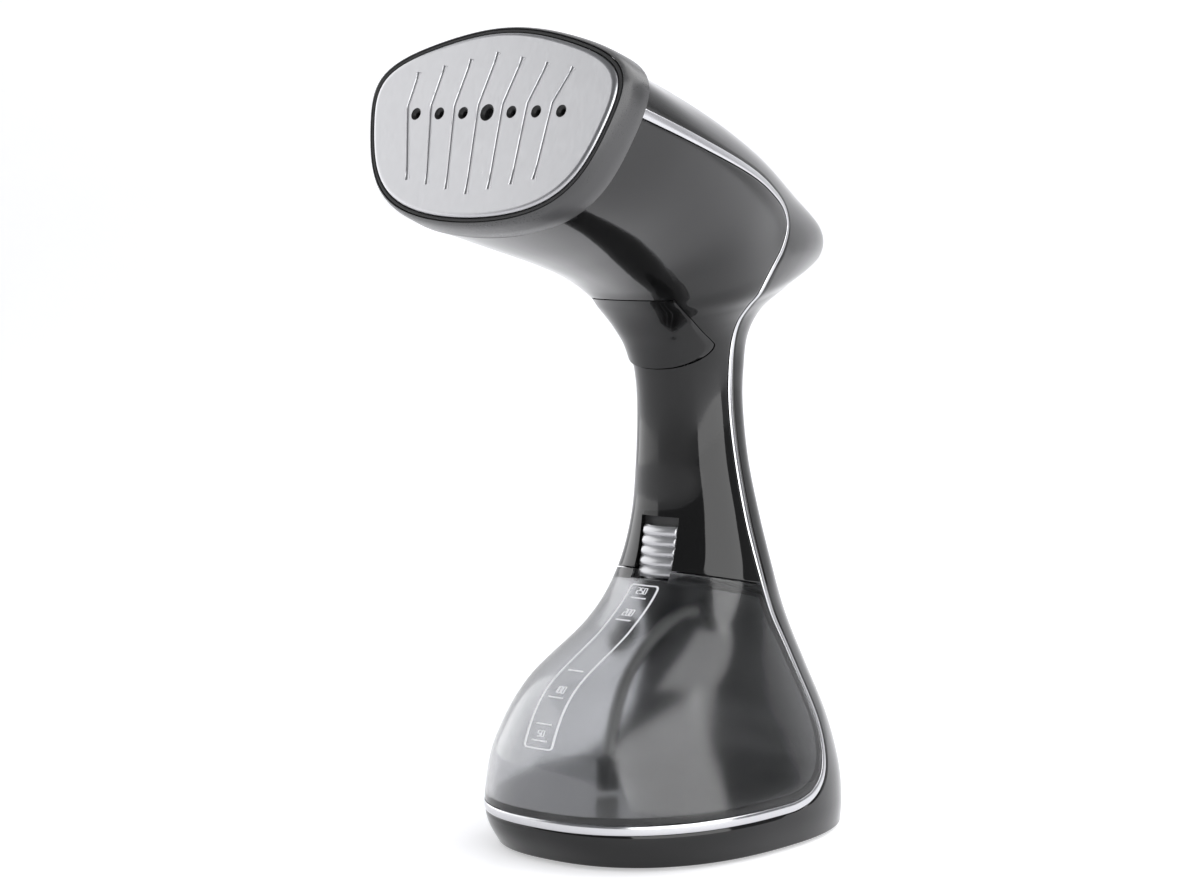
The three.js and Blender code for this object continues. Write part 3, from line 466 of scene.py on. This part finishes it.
FINISH = {
    "gloss_black": finish("gloss black", grey(0.0025), grey(0.0045), (0.045, 0.085), 0.010,
                          grain=700, Specular_IOR_Level=0.36),
    "collar_grey": finish("collar grey", grey(0.030), grey(0.040), (0.25, 0.34), 0.10, grain=2200),
    "satin_plate": finish("satin plate", grey(0.40), grey(0.46), (0.27, 0.36), 0.05, 1.0,
                          grain=900, stretch=(1, 1, 0.15)),
    "bright_trim": finish("bright trim", grey(0.50), grey(0.58), (0.14, 0.22), 0.02, 1.0),
    "silver": finish("silver lacquer", grey(0.42), grey(0.50), (0.26, 0.34), 0.05, 0.8,
                     grain=2500),
    "smoky_clear": finish("smoky clear", (0.60, 0.605, 0.615), (0.64, 0.645, 0.655), (0.13, 0.19),
                          0.006, grain=500, Transmission_Weight=1.0, IOR=1.46),
    "rubber": finish("black rubber", grey(0.018), grey(0.026), (0.65, 0.8), 0.25, grain=2600),
    "pale_rubber": finish("pale silicone", (0.27, 0.27, 0.26), (0.33, 0.33, 0.32), (0.35, 0.5),
                          0.08),
    "matt_black": finish("matt black", grey(0.040), grey(0.055), (0.42, 0.58), 0.22, grain=2400),
    "cast_aluminium": finish("cast aluminium", grey(0.48), grey(0.6), (0.4, 0.58), 0.5, 1.0),
    "steel": finish("plain steel", grey(0.45), grey(0.56), (0.22, 0.36), 0.06, 1.0,
                    stretch=(1, 1, 0.2)),
    "copper": finish("winding copper", (0.42, 0.17, 0.07), (0.52, 0.24, 0.12), (0.28, 0.4), 0.5,
                     0.9, grain=500, stretch=(0.1, 0.1, 4)),
    "board_green": finish("board green", (0.015, 0.11, 0.035), (0.02, 0.15, 0.05), (0.3, 0.4), 0.1),
    "component_blue": finish("component blue", (0.02, 0.07, 0.25), (0.03, 0.09, 0.3), (0.2, 0.3),
                             0.03),
    "white_plastic": finish("white plastic", (0.7, 0.7, 0.67), (0.76, 0.76, 0.73), (0.3, 0.42),
                            0.08),
    "red_lens": finish("red lens", (0.45, 0.03, 0.02), (0.55, 0.05, 0.03), (0.05, 0.1), 0.01,
                       Coat_Weight=0.6),
    "print_white": finish("printed scale", grey(0.72), grey(0.8), (0.4, 0.5), 0.03),
    # near-black lining for the steam holes: painted shade for the dark inside the holes, where the
    # aluminium boiler lies behind
    "painted_hole_shade": finish("painted hole shade", grey(0.012), grey(0.030), (0.4, 0.55), 0.1, 0.5),
}

for part in frame["record"]["subparts"]:
    node = frame["nodes"][part["node"]]
    node.data.materials.clear()
    node.data.materials.append(FINISH[part["material_slot"]])

# ---- Case ----------------------------------------------------------------------------------

EDGE_ROUND = 0.45
FRONT_OF_ALL = -60  # where cutters for the handle's front begin
CATCH_FOOT, CATCH_TOP, CATCH_HALF = 95.4, 114.0, 8.2
CATCH_ROOM = CATCH_HALF + 0.5
POWER_HEIGHT, LAMP_HEIGHT, GLAND_HEIGHT = 166, 180, 16


def edge_drop(distance):
    """Rounded parting edge: nearly a quarter circle's drop, which ends EDGE_ROUND from the edge."""
    short = np.clip(1 - distance / EDGE_ROUND, 0, 1)
    return EDGE_ROUND * (1 - np.sqrt(1 - short**2 * 0.98))


def patch_shares(count):
    """Columns across a patch from edge to edge, with close ones beside its edges."""
    inner = np.linspace(-0.985, 0.985, count)
    close = np.array([0.9995, 0.998, 0.996, 0.992])
    return np.unique(np.concatenate([inner, close, -close, [1, -1]]))


def front_shell():
    """Front of handle and head: a wall of the body from the seam up, between the trim's front
    edges, with rounded edges and openings for the trigger and the catch."""
    share = patch_shares(110)
    angle_at = side_angle(-1, -GAP)
    foot = seam_section(share, angle_at, 0)
    up = np.linspace(0, 1, 230)
    close = [0.0008, 0.002, 0.004, 0.996, 0.998, 0.9992]  # rows beside the ends
    up = np.unique(np.concatenate([up, close]))[:, None]
    u = foot + (LAST - foot) * up
    angle = angle_at(u)
    to_side = (1 - np.abs(share)) * angle * catmull(SECTIONS, u)[..., 4]
    to_foot = up * 220  # millimetres from foot to collar
    outer = body_point(u, share * angle, -edge_drop(np.minimum(to_side, to_foot)))
    inner = body_point(u, share * angle, -WALL)
    made = piece("front_case", *thick_grid(outer, inner), FINISH["gloss_black"], CASE,
                 ["front_shell"], slot="gloss_black")
    trigger_gap, room_behind = 0.35, 4
    opening = side_outline(trigger_outline(trigger_gap), FRONT_OF_ALL, room_behind)
    recess = brick((-CATCH_ROOM, -40, 60), (CATCH_ROOM, -2, CATCH_TOP + 3.5))
    for cutter in (opening, recess):
        cut(made, tool(*cutter), FINISH["gloss_black"])


def trigger_outline(grow):
    """Front-view outline of the trigger: straight sides and a U-shaped foot of two parabolas."""
    half, foot, shoulder, top = 19 + grow, 171.5 - grow, 180.5, 196.5 + grow
    fullness = 0.92
    t = np.linspace(0, 1, 24)

    def parabola(start, corner, end):
        return (1 - t)**2 * start + 2 * t * (1 - t) * corner + t**2 * end

    left = np.stack([parabola(-half, -fullness * half, 0), parabola(shoulder, foot, foot)], 1)
    right = np.stack([-left[::-1, 0], left[::-1, 1]], 1)[1:]
    return np.vstack([[(-half, top)], left, right, [(half, top)]])


def steam_trigger():
    """Finger paddle: the body's front pushed out, less so near its top, and cut to its outline."""
    proud, top_proud, wall = 1.2, 0.2, 1.4
    u = np.linspace(9.6, 16.4, 90)[:, None]
    phi = np.linspace(-1, 1, 70) * radians(100)
    towards_top = np.clip((body_point(u, phi)[..., 2] - 189) / 7.5, 0, 1)
    outer = body_point(u, phi, proud - (proud - top_proud) * towards_top ** 2)
    inner = body_point(u, phi, -wall)
    made = piece("steam_trigger_paddle", *thick_grid(outer, inner), FINISH["gloss_black"],
                 TRIGGER, ["steam_trigger"], slot="gloss_black")
    outline = side_outline(trigger_outline(0), FRONT_OF_ALL, 1)
    cut(made, tool(*outline), FINISH["gloss_black"], operation="INTERSECT")
    soften = made.modifiers.new("soft edge", "BEVEL")
    soften.width, soften.segments, soften.limit_method = 0.0006, 3, "ANGLE"
    soften.angle_limit = radians(50)
    return made


def rear_shell():
    """The base's rim all round, carried up the spine and over the head behind the trim."""
    rim = section_at_height(1.5)
    top = section_at_height(BASE_TRIM_Z - BASE_TRIM_WIDTH / 2 - GAP)
    angle_at = side_angle(1, GAP)
    base = np.concatenate([rim + np.array([0, 0.01, 0.03, 0.06]), np.linspace(rim + 0.1, top, 16)])
    above = top + (LAST - top) * np.linspace(0, 1, 300)[1:] ** 1.15  # closer together low down
    u = np.concatenate([base, above])[:, None]
    side = angle_at(np.maximum(u, top))
    front = np.linspace(-1, 1, 90)[None, :-1] * side
    rear = side + np.linspace(0, 1, 111)[None, :-1] * (2 * np.pi - 2 * side)
    phi = np.concatenate([front, rear], 1)
    mask = np.ones((len(u) - 1, phi.shape[1]), bool)
    mask[len(base) - 1:, :front.shape[1]] = False
    below_top, from_rim = (top - u) * 13, (u - rim) * 11  # the base's sections, in millimetres
    beside = np.minimum(np.abs(phi - side), np.abs(2 * np.pi - side - phi))
    edge = np.where(u > top, beside * catmull(SECTIONS, u)[..., 4], below_top)
    edge = np.where((u > top) | (phi < side), np.minimum(edge, from_rim), from_rim)
    points = body_point(u, phi, -edge_drop(edge)), body_point(u, phi, -WALL)
    made = piece("rear_case", *thick_grid(*points, mask, True), FINISH["gloss_black"], CASE,
                 ["rear_shell"], slot="gloss_black")
    bores = ((6.5, 10, 60, POWER_HEIGHT), (2.3, 10, 60, LAMP_HEIGHT), (6.8, 50, 90, GLAND_HEIGHT))
    for radius, front, back, height in bores:
        cutter = ring_solid(turned_y([(radius, front), (radius, back)], (0, height)))
        cut(made, tool(*cutter), FINISH["gloss_black"])


def trim_strip():
    """The bright line: both sides in the side view and the base's front, one band end to end,
    gently crowned and set into the case."""
    across = np.linspace(-1, 1, 13)
    middle, normal, width = trim_side_view(760)
    place = middle[:, None] + normal[:, None] * (across[None] * width[:, None] / 2)[..., None]
    u, phi = surface_place(place[..., 0], place[..., 1])
    foot = np.array([section_at_height(BASE_TRIM_Z - a * BASE_TRIM_WIDTH / 2) for a in across])
    turn = np.linspace(1, 0, 150)[1:, None]
    leave_side = 1 - np.clip((1 - turn) * 9, 0, 1)
    u = np.concatenate([u, foot + (u[-1] - foot) * leave_side])
    phi = np.concatenate([phi, phi[-1] * turn])
    u, phi = np.concatenate([u, u[-2::-1]]), np.concatenate([phi, -phi[-2::-1]])
    crown, depth = 0.3, 1.8
    outer = body_point(u, phi, crown * (1 - np.abs(across) ** 4))
    inner = body_point(u, phi, -depth)
    piece("bright_trim_band", *thick_grid(outer, inner), FINISH["bright_trim"], CASE,
          ["trim_strip"], slot="bright_trim")


# ---- Tank ----------------------------------------------------------------------------------

def vessel(inset, grow, under_seam):
    """Rings of the tank's skin: the body's front between the trim and the seam, closed behind by
    straight lines across from its left border to its right one."""
    angle_at = side_angle(-1, -inset)
    share = patch_shares(100)
    top = seam_section(share, angle_at, -under_seam)
    foot = section_at_height(BASE_TRIM_Z + BASE_TRIM_WIDTH / 2 + inset)
    v = np.linspace(0, 1, 150)[:, None] ** 1.5
    u = foot + (top - foot) * v
    skin = body_point(u, share * angle_at(u), grow)
    blend = np.linspace(0, 1, 60)[None, 1:-1, None]
    back = skin[:, -1:] * (1 - blend) + skin[:, :1] * blend
    return np.concatenate([skin, back], 1)


def water_tank():
    """Clear tank: its skin with the same skin a wall further in, turned inside out, and a notch
    in its top under the catch."""
    outer = ring_solid(vessel(TANK_GAP, 0, TANK_GAP))
    lid = 4.8  # how far the hollow stays below the top
    hollow, faces = ring_solid(vessel(TANK_GAP + WALL, -WALL, TANK_GAP + lid))
    walls = together([outer, (hollow, [face[::-1] for face in faces])])
    made = piece("clear_tank", *walls, FINISH["smoky_clear"], TANK, ["water_tank"],
                 slot="smoky_clear")
    notch = brick((-CATCH_ROOM, FRONT_OF_ALL, CATCH_FOOT - 0.5), (CATCH_ROOM, 60, 130))
    cut(made, tool(*notch), FINISH["smoky_clear"])


def bay_liner():
    """Matt wall behind the tank: the trim's front edge in the side view, carried straight across,
    and the same again one wall further back."""
    middle, normal, width = trim_side_view(320)
    keep = middle[:, 1] < 97  # below the seam
    middle, normal, width = middle[keep], normal[keep], width[keep]
    across, inset, thickness = np.linspace(-1, 1, 24), 2.6, 2.0
    sheets = []
    for past in (0, thickness):
        place = middle + normal * (-width / 2 + past)[:, None]
        point = body_point(*surface_place(place[:, 0], place[:, 1]), -inset)[:, None]
        sheets.append(np.stack(np.broadcast_arrays(
            point[..., 0] * across, point[..., 1], point[..., 2]), -1))
    piece("tank_bay_wall", *thick_grid(*sheets), FINISH["matt_black"], CASE,
          ["tank_bay_liner"], slot="matt_black")


def front_place(x, z, grow):
    """Point on the body's front at an x and a height: the superellipse solved for its angle."""
    steps = np.linspace(0, 9, 1801)  # sections up to the handle
    u = np.interp(z, catmull(SECTIONS, steps)[:, 1], steps)
    row = catmull(SECTIONS, u)
    sine = (np.abs(x) / row[..., 4]) ** (row[..., 6] / 2)
    return body_point(u, np.sign(x) * np.arcsin(np.clip(sine, 0, 1)), grow)


def ribbon(path, width):
    """A printed line: a thin raised strip along a path of x and z on the tank. Upright lines are
    half as wide again, and level ones a fifth less, because the tank slopes."""
    path = np.array(path, float)
    run = np.concatenate([[0], np.cumsum(np.linalg.norm(np.diff(path, axis=0), axis=1))])
    spacing, foot, top = 0.4, 0.06, 0.25
    steps = np.linspace(0, run[-1], int(run[-1] / spacing) + 4)
    line = np.stack([np.interp(steps, run, path[:, k]) for k in (0, 1)], 1)
    way = np.gradient(line, axis=0)
    way /= np.linalg.norm(way, axis=1)[:, None]
    normal = np.stack([-1.5 * way[:, 1], 0.8 * way[:, 0]], 1)
    edge = line[:, None] + normal[:, None] * (np.array([-0.5, 0.5]) * width)[None, :, None]
    x, z = edge[..., 0], edge[..., 1]
    return thick_grid(front_place(x, z, top), front_place(x, z, foot))


# Plain numbers in seven strokes, each from one corner of a box 1 wide and 2 high to another.
DIGITS = {"0": "abcdef", "1": "bc", "2": "abged", "5": "afgcd"}
STROKES = {"a": ((0, 2), (1, 2)), "b": ((1, 2), (1, 1)), "c": ((1, 1), (1, 0)),
           "d": ((1, 0), (0, 0)), "e": ((0, 0), (0, 1)), "f": ((0, 1), (0, 2)),
           "g": ((0, 1), (1, 1))}


def level_scale():
    """Printed level scale: a narrow frame with rounded corners, level marks and plain numbers."""
    half, low, high, corner = 6.3, 42, 93, 1.2
    frame_width, mark_width, stroke_width, mark_half = 0.55, 0.5, 0.3, 3.4
    digit_pitch, digit_width, stroke_height = 1.6, 1.1, 0.95
    turn = np.linspace(0, np.pi / 2, 7)
    centre = (half - corner, high - corner)
    arc = np.stack([centre[0] + corner * np.cos(turn), centre[1] + corner * np.sin(turn)], 1)
    top = np.concatenate([arc, arc[::-1] * (-1, 1)])
    frame_line = np.concatenate([top, (top * (1, -1) + (0, low + high))[::-1], top[:1]])
    strips = [ribbon(frame_line, frame_width)]
    for z in (88.8, 81.8, 66.7, 58.7, 50.1, 44.6):
        strips.append(ribbon([(-mark_half, z), (mark_half, z)], mark_width))
    for z, text in ((90.2, "250"), (83.2, "200"), (60.1, "100"), (46.0, "50")):
        start = 0.2 - digit_pitch * len(text) / 2
        for k, digit in enumerate(text):
            left = start + digit_pitch * k
            for stroke in DIGITS[digit]:
                line = [(left + digit_width * a, z + stroke_height * b)
                        for a, b in STROKES[stroke]]
                strips.append(ribbon(line, stroke_width))
    piece("level_scale_print", *together(strips), FINISH["print_white"], TANK)


def filler_plug():
    """Rubber plug on the tank's left side: a disc that follows the body, with a rounded rim."""
    angle = np.linspace(0, 2 * np.pi, 72, endpoint=False)
    y, z = 12, 68
    profile = ((0.6, 0.3), (3.5, 0.3), (6.4, 0.3), (6.9, 0.2), (7.15, -0.1), (7.2, -3.4))
    rings = []
    for radius, grow in profile:
        u, phi = surface_place(y + radius * np.cos(angle), z + radius * np.sin(angle))
        rings.append(body_point(u, -phi, grow))
    piece("filler_stopper", *ring_solid(rings), FINISH["rubber"], PLUG, ["filler_plug"],
          slot="rubber")


def release_slider():
    """Ribbed catch: a front crowned across by a parabola, with ribs down it that are powers of
    sines, rounded at the edges and ends, and a flat back."""
    ribs, rib_height, crown, thickness = 5, 0.95, 1.65, 3.2
    foot_y, lean = -11.8, 3.2
    share = np.linspace(0, 1, 101)[:, None]
    across = np.linspace(-1, 1, 33)[None]
    inside = 1 - np.clip((np.abs(across) - 0.9) / 0.1, 0, 1) ** 2
    ends = np.clip(np.minimum(share, 1 - share) / 0.035, 0, 1) ** 0.5
    rib = rib_height * np.abs(np.sin(ribs * np.pi * share)) ** 0.75
    line = foot_y + lean * share
    front = line + crown * across**2 - rib * inside * ends + (1 - inside) * 0.5
    x, z = CATCH_HALF * across, CATCH_FOOT + (CATCH_TOP - CATCH_FOOT) * share
    outer = np.stack(np.broadcast_arrays(x, front, z), -1)
    inner = np.stack(np.broadcast_arrays(x, line + thickness, z), -1)
    piece("release_catch", *thick_grid(outer, inner), FINISH["silver"], SLIDER,
          ["release_slider"], sharp=50, slot="silver")


# ---- Head ----------------------------------------------------------------------------------

def in_head(x, depth, up):
    """From the head's own frame, with depth behind the plate's face, to the row frame."""
    cosine, sine = np.cos(FACE_TILT), np.sin(FACE_TILT)
    y = FACE_CENTRE[0] + depth * cosine + up * sine
    return np.stack(np.broadcast_arrays(x, y, FACE_CENTRE[1] - depth * sine + up * cosine), -1)


def face_rings(profile):
    """Rings of the soleplate's outline, each grown, set back and shrunk as the profile says."""
    angle = np.linspace(0, 2 * np.pi, 180, endpoint=False)
    rings = []
    for grow, depth, share in profile:
        x, up = face_outline(angle, grow)
        rings.append(in_head(x * share, depth, up * share))
    return rings


HOLE_PITCH = 11
# Across from the middle, radius of the bore and radius of its countersunk rim.
HOLES = [(HOLE_PITCH * i, *((2.0, 3.0) if i == 0 else (1.2, 2.2))) for i in range(-3, 4)]


def soleplate():
    """Pressed plate: its outline with a rim rolled back over a quarter ellipse, countersunk holes
    and a shallow groove beside each, cut in one go."""
    back, roll_out, roll_back, sharp = 3.5, 1.6, 1.2, 35
    profile = [(0, 0, 0.25), (0, 0, 0.6), (0, 0, 0.9), (0, 0, 0.985), (0, 0, 1)]
    bend = np.linspace(0, np.pi / 2, 8)[1:]
    profile += [(roll_out * np.sin(t), roll_back * (1 - np.cos(t)), 1) for t in bend]
    profile += [(roll_out, back, 1), (0, back, 0.9), (0, back, 0.3)]
    made = piece("steam_plate", *ring_solid(face_rings(profile)), FINISH["satin_plate"], CASE,
                 ["soleplate"], sharp=sharp, slot="satin_plate")
    cutters = []
    for x, bore, rim in HOLES:
        cutters.append(ring_solid(hole_rings(x, bore, rim)))
        i = x / HOLE_PITCH
        cutters.append(groove_cutter([(11.7 * i - 1, 21.5 - 2.1 * abs(i)), (x - 4.6, 3),
                                      (9.6 * i - 1, 1.7 * abs(i) - 28.8)]))
    cut(made, tool(*together(cutters)), FINISH["satin_plate"], sharp)
    level = Vector((0, -np.cos(FACE_TILT), np.sin(FACE_TILT)))
    made.data.polygons.foreach_set(
        "use_smooth", [face.normal.dot(level) < 0.9999 for face in made.data.polygons])


def hole_rings(x, bore, rim):
    """Rings of a hole's cutter: a cone from before the plate's face, then a bore."""
    angle = np.linspace(0, 2 * np.pi, 40, endpoint=False)
    return [in_head(x + r * np.cos(angle), d, r * np.sin(angle))
            for r, d in ((rim + 0.4, -0.4), (rim, 0), (bore, 1.1), (bore, 6))]


def hole_cups():
    """Near-black lining of each hole, painted shade inside the holes: its cone and bore again, a
    hair inside, as closed thin bands.
    """
    bands, angle = [], np.linspace(0, 2 * np.pi, 40, endpoint=False)
    for x, bore, rim in HOLES:
        profile = [(rim - 0.03, 0.02), (bore - 0.03, 1.1), (bore - 0.03, 3.4),
                   (bore - 0.13, 3.4), (bore - 0.13, 1.15), (rim - 0.18, 0.06)]
        bands.append(hoop([in_head(x + r * np.cos(angle), d, r * np.sin(angle))
                           for r, d in profile]))
    piece("steam_hole_linings", *together(bands), FINISH["painted_hole_shade"], CASE)


def groove_cutter(path):
    """A shallow trough along a bent path of x and up, an ellipse in section and wider at its two
    ends by a bell curve."""
    half_width, end_pit, depth = 0.7, 0.45, 0.42
    path = np.array(path)
    steps = np.linspace(0, 2, 41)
    line = np.stack([np.interp(steps, [0, 1, 2], path[:, k]) for k in (0, 1)], 1)
    way = np.gradient(line, axis=0)
    way /= np.linalg.norm(way, axis=1)[:, None]
    normal = np.stack([way[:, 1], -way[:, 0]], 1)
    turn = np.linspace(0, 2 * np.pi, 13)[:-1]
    width = half_width + end_pit * np.exp(-(np.minimum(steps, 2 - steps) * 12) ** 2)
    side = width[:, None] * np.cos(turn)
    return ring_solid(in_head(line[:, :1] + normal[:, :1] * side, depth * np.sin(turn)[None],
                              line[:, 1:] + normal[:, 1:] * side))


def seal_and_collar():
    """Seal and collar: closed profiles of growth and depth, carried round the outline."""
    seal = [(1.9, 3.5), (1.9, 1.1), (2.1, 0.95), (2.7, 0.95), (2.9, 1.1), (2.9, 3.5)]
    collar = [(3.2, 12.4), (3.2, 1.3), (3.4, 1.0), (3.6, 1.0), (4.2, 1.9), (4.6, 3.1), (4.9, 4.5),
              (5.1, 8), (5.2, 12.1), (5.0, 12.4)]
    for name, profile, slot, node in (("plate_gasket", seal, "rubber", "soleplate_seal"),
                                      ("front_bezel", collar, "collar_grey", "front_collar")):
        rings = face_rings([(grow, depth, 1) for grow, depth in profile])
        piece(name, *hoop(rings), FINISH[slot], CASE, [node], slot=slot)


# ---- Rear controls and gland ---------------------------------------------------------------

def rear_fittings():
    """Power button, lamp and gland: profiles of radius and y turned about axes along y."""
    button = [(5.9, 23), (6.05, 25), (6.1, 28.3), (5.9, 28.9), (5.3, 29.15), (3.5, 28.75),
              (1, 28.6)]
    piece("power_key", *ring_solid(turned_y(button, (0, POWER_HEIGHT))), FINISH["silver"], BUTTON,
          ["power_button"], slot="silver")
    lens = [(2, 27), (2, 31.4), (1.6, 31.8), (0.8, 32.0)]
    piece("lamp_lens", *ring_solid(turned_y(lens, (0, LAMP_HEIGHT))), FINISH["red_lens"], CASE,
          ["indicator_lens"], slot="red_lens")
    gland = [(3.6, 61), (8.5, 61), (8.5, 63.4), (6.5, 63.4), (6.5, 68), (6.1, 68.4), (6.1, 69.2),
             (6.5, 69.6), (6.5, 71), (6.1, 71.4), (6.1, 72.2), (6.5, 72.6), (6.3, 75.6), (5.9, 76),
             (4.0, 76), (3.6, 75.6)]
    piece("cord_bush", *hoop(turned_y(gland, (0, GLAND_HEIGHT))), FINISH["rubber"], CASE,
          ["cord_gland"], slot="rubber")


def foot():
    """Rubber foot: level slices of the body, drawn in from its outside."""
    angle = np.linspace(0, 2 * np.pi, 160, endpoint=False)

    def slice_ring(grow, z):
        ring = body_point(section_at_height(z), angle, grow)
        ring[:, 2] = z
        return ring

    slices = [slice_ring(-13.6, 0), slice_ring(-13.1, 0.3), slice_ring(-13, 0.8),
              slice_ring(-13, 2)]
    piece("foot_pad", *ring_solid(slices), FINISH["rubber"], CASE, ["rubber_foot"], slot="rubber")


def return_spring(name, node, along, fixed_end):
    """Round wire along a helix: circles about a point that turns about the spring's axis and
    climbs it evenly."""
    low, high = (np.array(corner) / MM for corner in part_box(node))
    coil, turns, sides = 2.0, 4, 12
    others = [axis for axis in range(3) if axis != along]
    wire = (high[0] - low[0]) / 2 - coil
    turn = np.linspace(0, 2 * np.pi * turns, 28 * turns + 1)[:, None]
    round_wire = np.linspace(0, 2 * np.pi, sides, endpoint=False)
    reach = coil + wire * np.cos(round_wire)
    climb = low[along] + wire + (high[along] - low[along] - 2 * wire) * turn / turn[-1]
    points = np.zeros((len(turn), sides, 3))
    middle = (low + high) / 2
    points[..., others[0]] = middle[others[0]] + reach * np.cos(turn)
    points[..., others[1]] = middle[others[1]] + reach * np.sin(turn)
    points[..., along] = climb + wire * np.sin(round_wire)
    made = piece(name, *ring_solid(points), FINISH["steel"], CASE, [node], slot="steel")
    anchor = middle * MM
    anchor[along] = fixed_end
    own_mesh(made)


front_shell()
rear_shell()
return_spring("trigger_return_spring", "trigger_spring", 1, 0.0)
return_spring("catch_return_spring", "slider_spring", 2, 0.1159)
trim_strip()
steam_trigger()
water_tank()
bay_liner()
level_scale()
filler_plug()
release_slider()
soleplate()
hole_cups()
seal_and_collar()
rear_fittings()
foot()

# ---- Studio --------------------------------------------------------------------------------

# The camera's place in metres, and how far it is turned and looks down.
CAMERA_PLACE = Vector((0.662314, -0.820618, 0.238809))
AZIMUTH, PITCH = radians(40.548), radians(5.167)
FORWARD = Vector((-np.sin(AZIMUTH) * np.cos(PITCH), np.cos(AZIMUTH) * np.cos(PITCH),
                  -np.sin(PITCH)))
RIGHT = Vector((np.cos(AZIMUTH), np.sin(AZIMUTH), 0))


def camera():
    lens = bpy.data.cameras.new("camera")
    lens.lens, lens.sensor_width, lens.clip_end = 88.32, 36, 50
    made = bpy.data.objects.new("camera", lens)
    bpy.context.scene.collection.objects.link(made)
    up = RIGHT.cross(FORWARD)
    turn = Matrix((RIGHT, up, -FORWARD)).transposed().to_4x4()
    made.matrix_world = Matrix.Translation(CAMERA_PLACE) @ turn
    bpy.context.scene.camera = made


def panel(name, bearing, distance, height, size, power):
    """A soft panel, at a bearing in degrees right of the camera as the object sees it."""
    light = bpy.data.lights.new(name, "AREA")
    light.shape, light.size, light.size_y, light.energy = "RECTANGLE", *size, power
    made = bpy.data.objects.new(name, light)
    bpy.context.scene.collection.objects.link(made)
    level = -Vector((FORWARD.x, FORWARD.y, 0)).normalized()
    way = level * np.cos(radians(bearing)) + RIGHT * np.sin(radians(bearing))
    made.location = way * distance + Vector((0, 0, height))
    aim = Vector((0, 0, 0.15)) - made.location
    made.rotation_euler = aim.to_track_quat("-Z", "Y").to_euler()


def backdrop():
    """Floor that curves up into a wall behind the object: a quarter turn between two flats."""
    bend = np.linspace(0, np.pi / 2, 20)
    run = np.concatenate([[-6], 2.0 + 0.8 * np.sin(bend), [2.8]])
    rise = np.concatenate([[0], 0.8 - 0.8 * np.cos(bend), [5]])
    across = np.array([-8, 8])
    level = np.array([FORWARD.x, FORWARD.y]) / np.hypot(FORWARD.x, FORWARD.y)
    points = [(level[0] * r + RIGHT.x * a, level[1] * r + RIGHT.y * a, z)
              for r, z in zip(run, rise) for a in across]
    faces = [(2 * i, 2 * i + 1, 2 * i + 3, 2 * i + 2) for i in range(len(run) - 1)]
    mesh = bpy.data.meshes.new("studio floor")
    mesh.from_pydata(points, [], faces)
    made = bpy.data.objects.new("studio_floor", mesh)
    bpy.context.scene.collection.objects.link(made)
    mesh.materials.append(finish("pale floor", grey(0.82), grey(0.84), (0.6, 0.7), 0.01,
                                 Emission_Color=(1, 1, 1, 1), Emission_Strength=0.42))
    mesh.polygons.foreach_set("use_smooth", np.ones(len(faces), bool))


camera()
backdrop()
panel("right panel", 40, 1.6, 0.5, (2.4, 1.7), 46)
panel("left panel", -112, 1.4, 0.4, (1.8, 1.7), 15)
panel("top panel", 108, 1.25, 1.5, (1.9, 1.4), 22)
world = bpy.data.worlds.new("studio")
bpy.context.scene.world = world
world.use_nodes = True
world.node_tree.nodes["Background"].inputs["Color"].default_value = (0.95, 0.97, 1, 1)
world.node_tree.nodes["Background"].inputs["Strength"].default_value = 0.26
bpy.context.scene.view_settings.view_transform = "Standard"
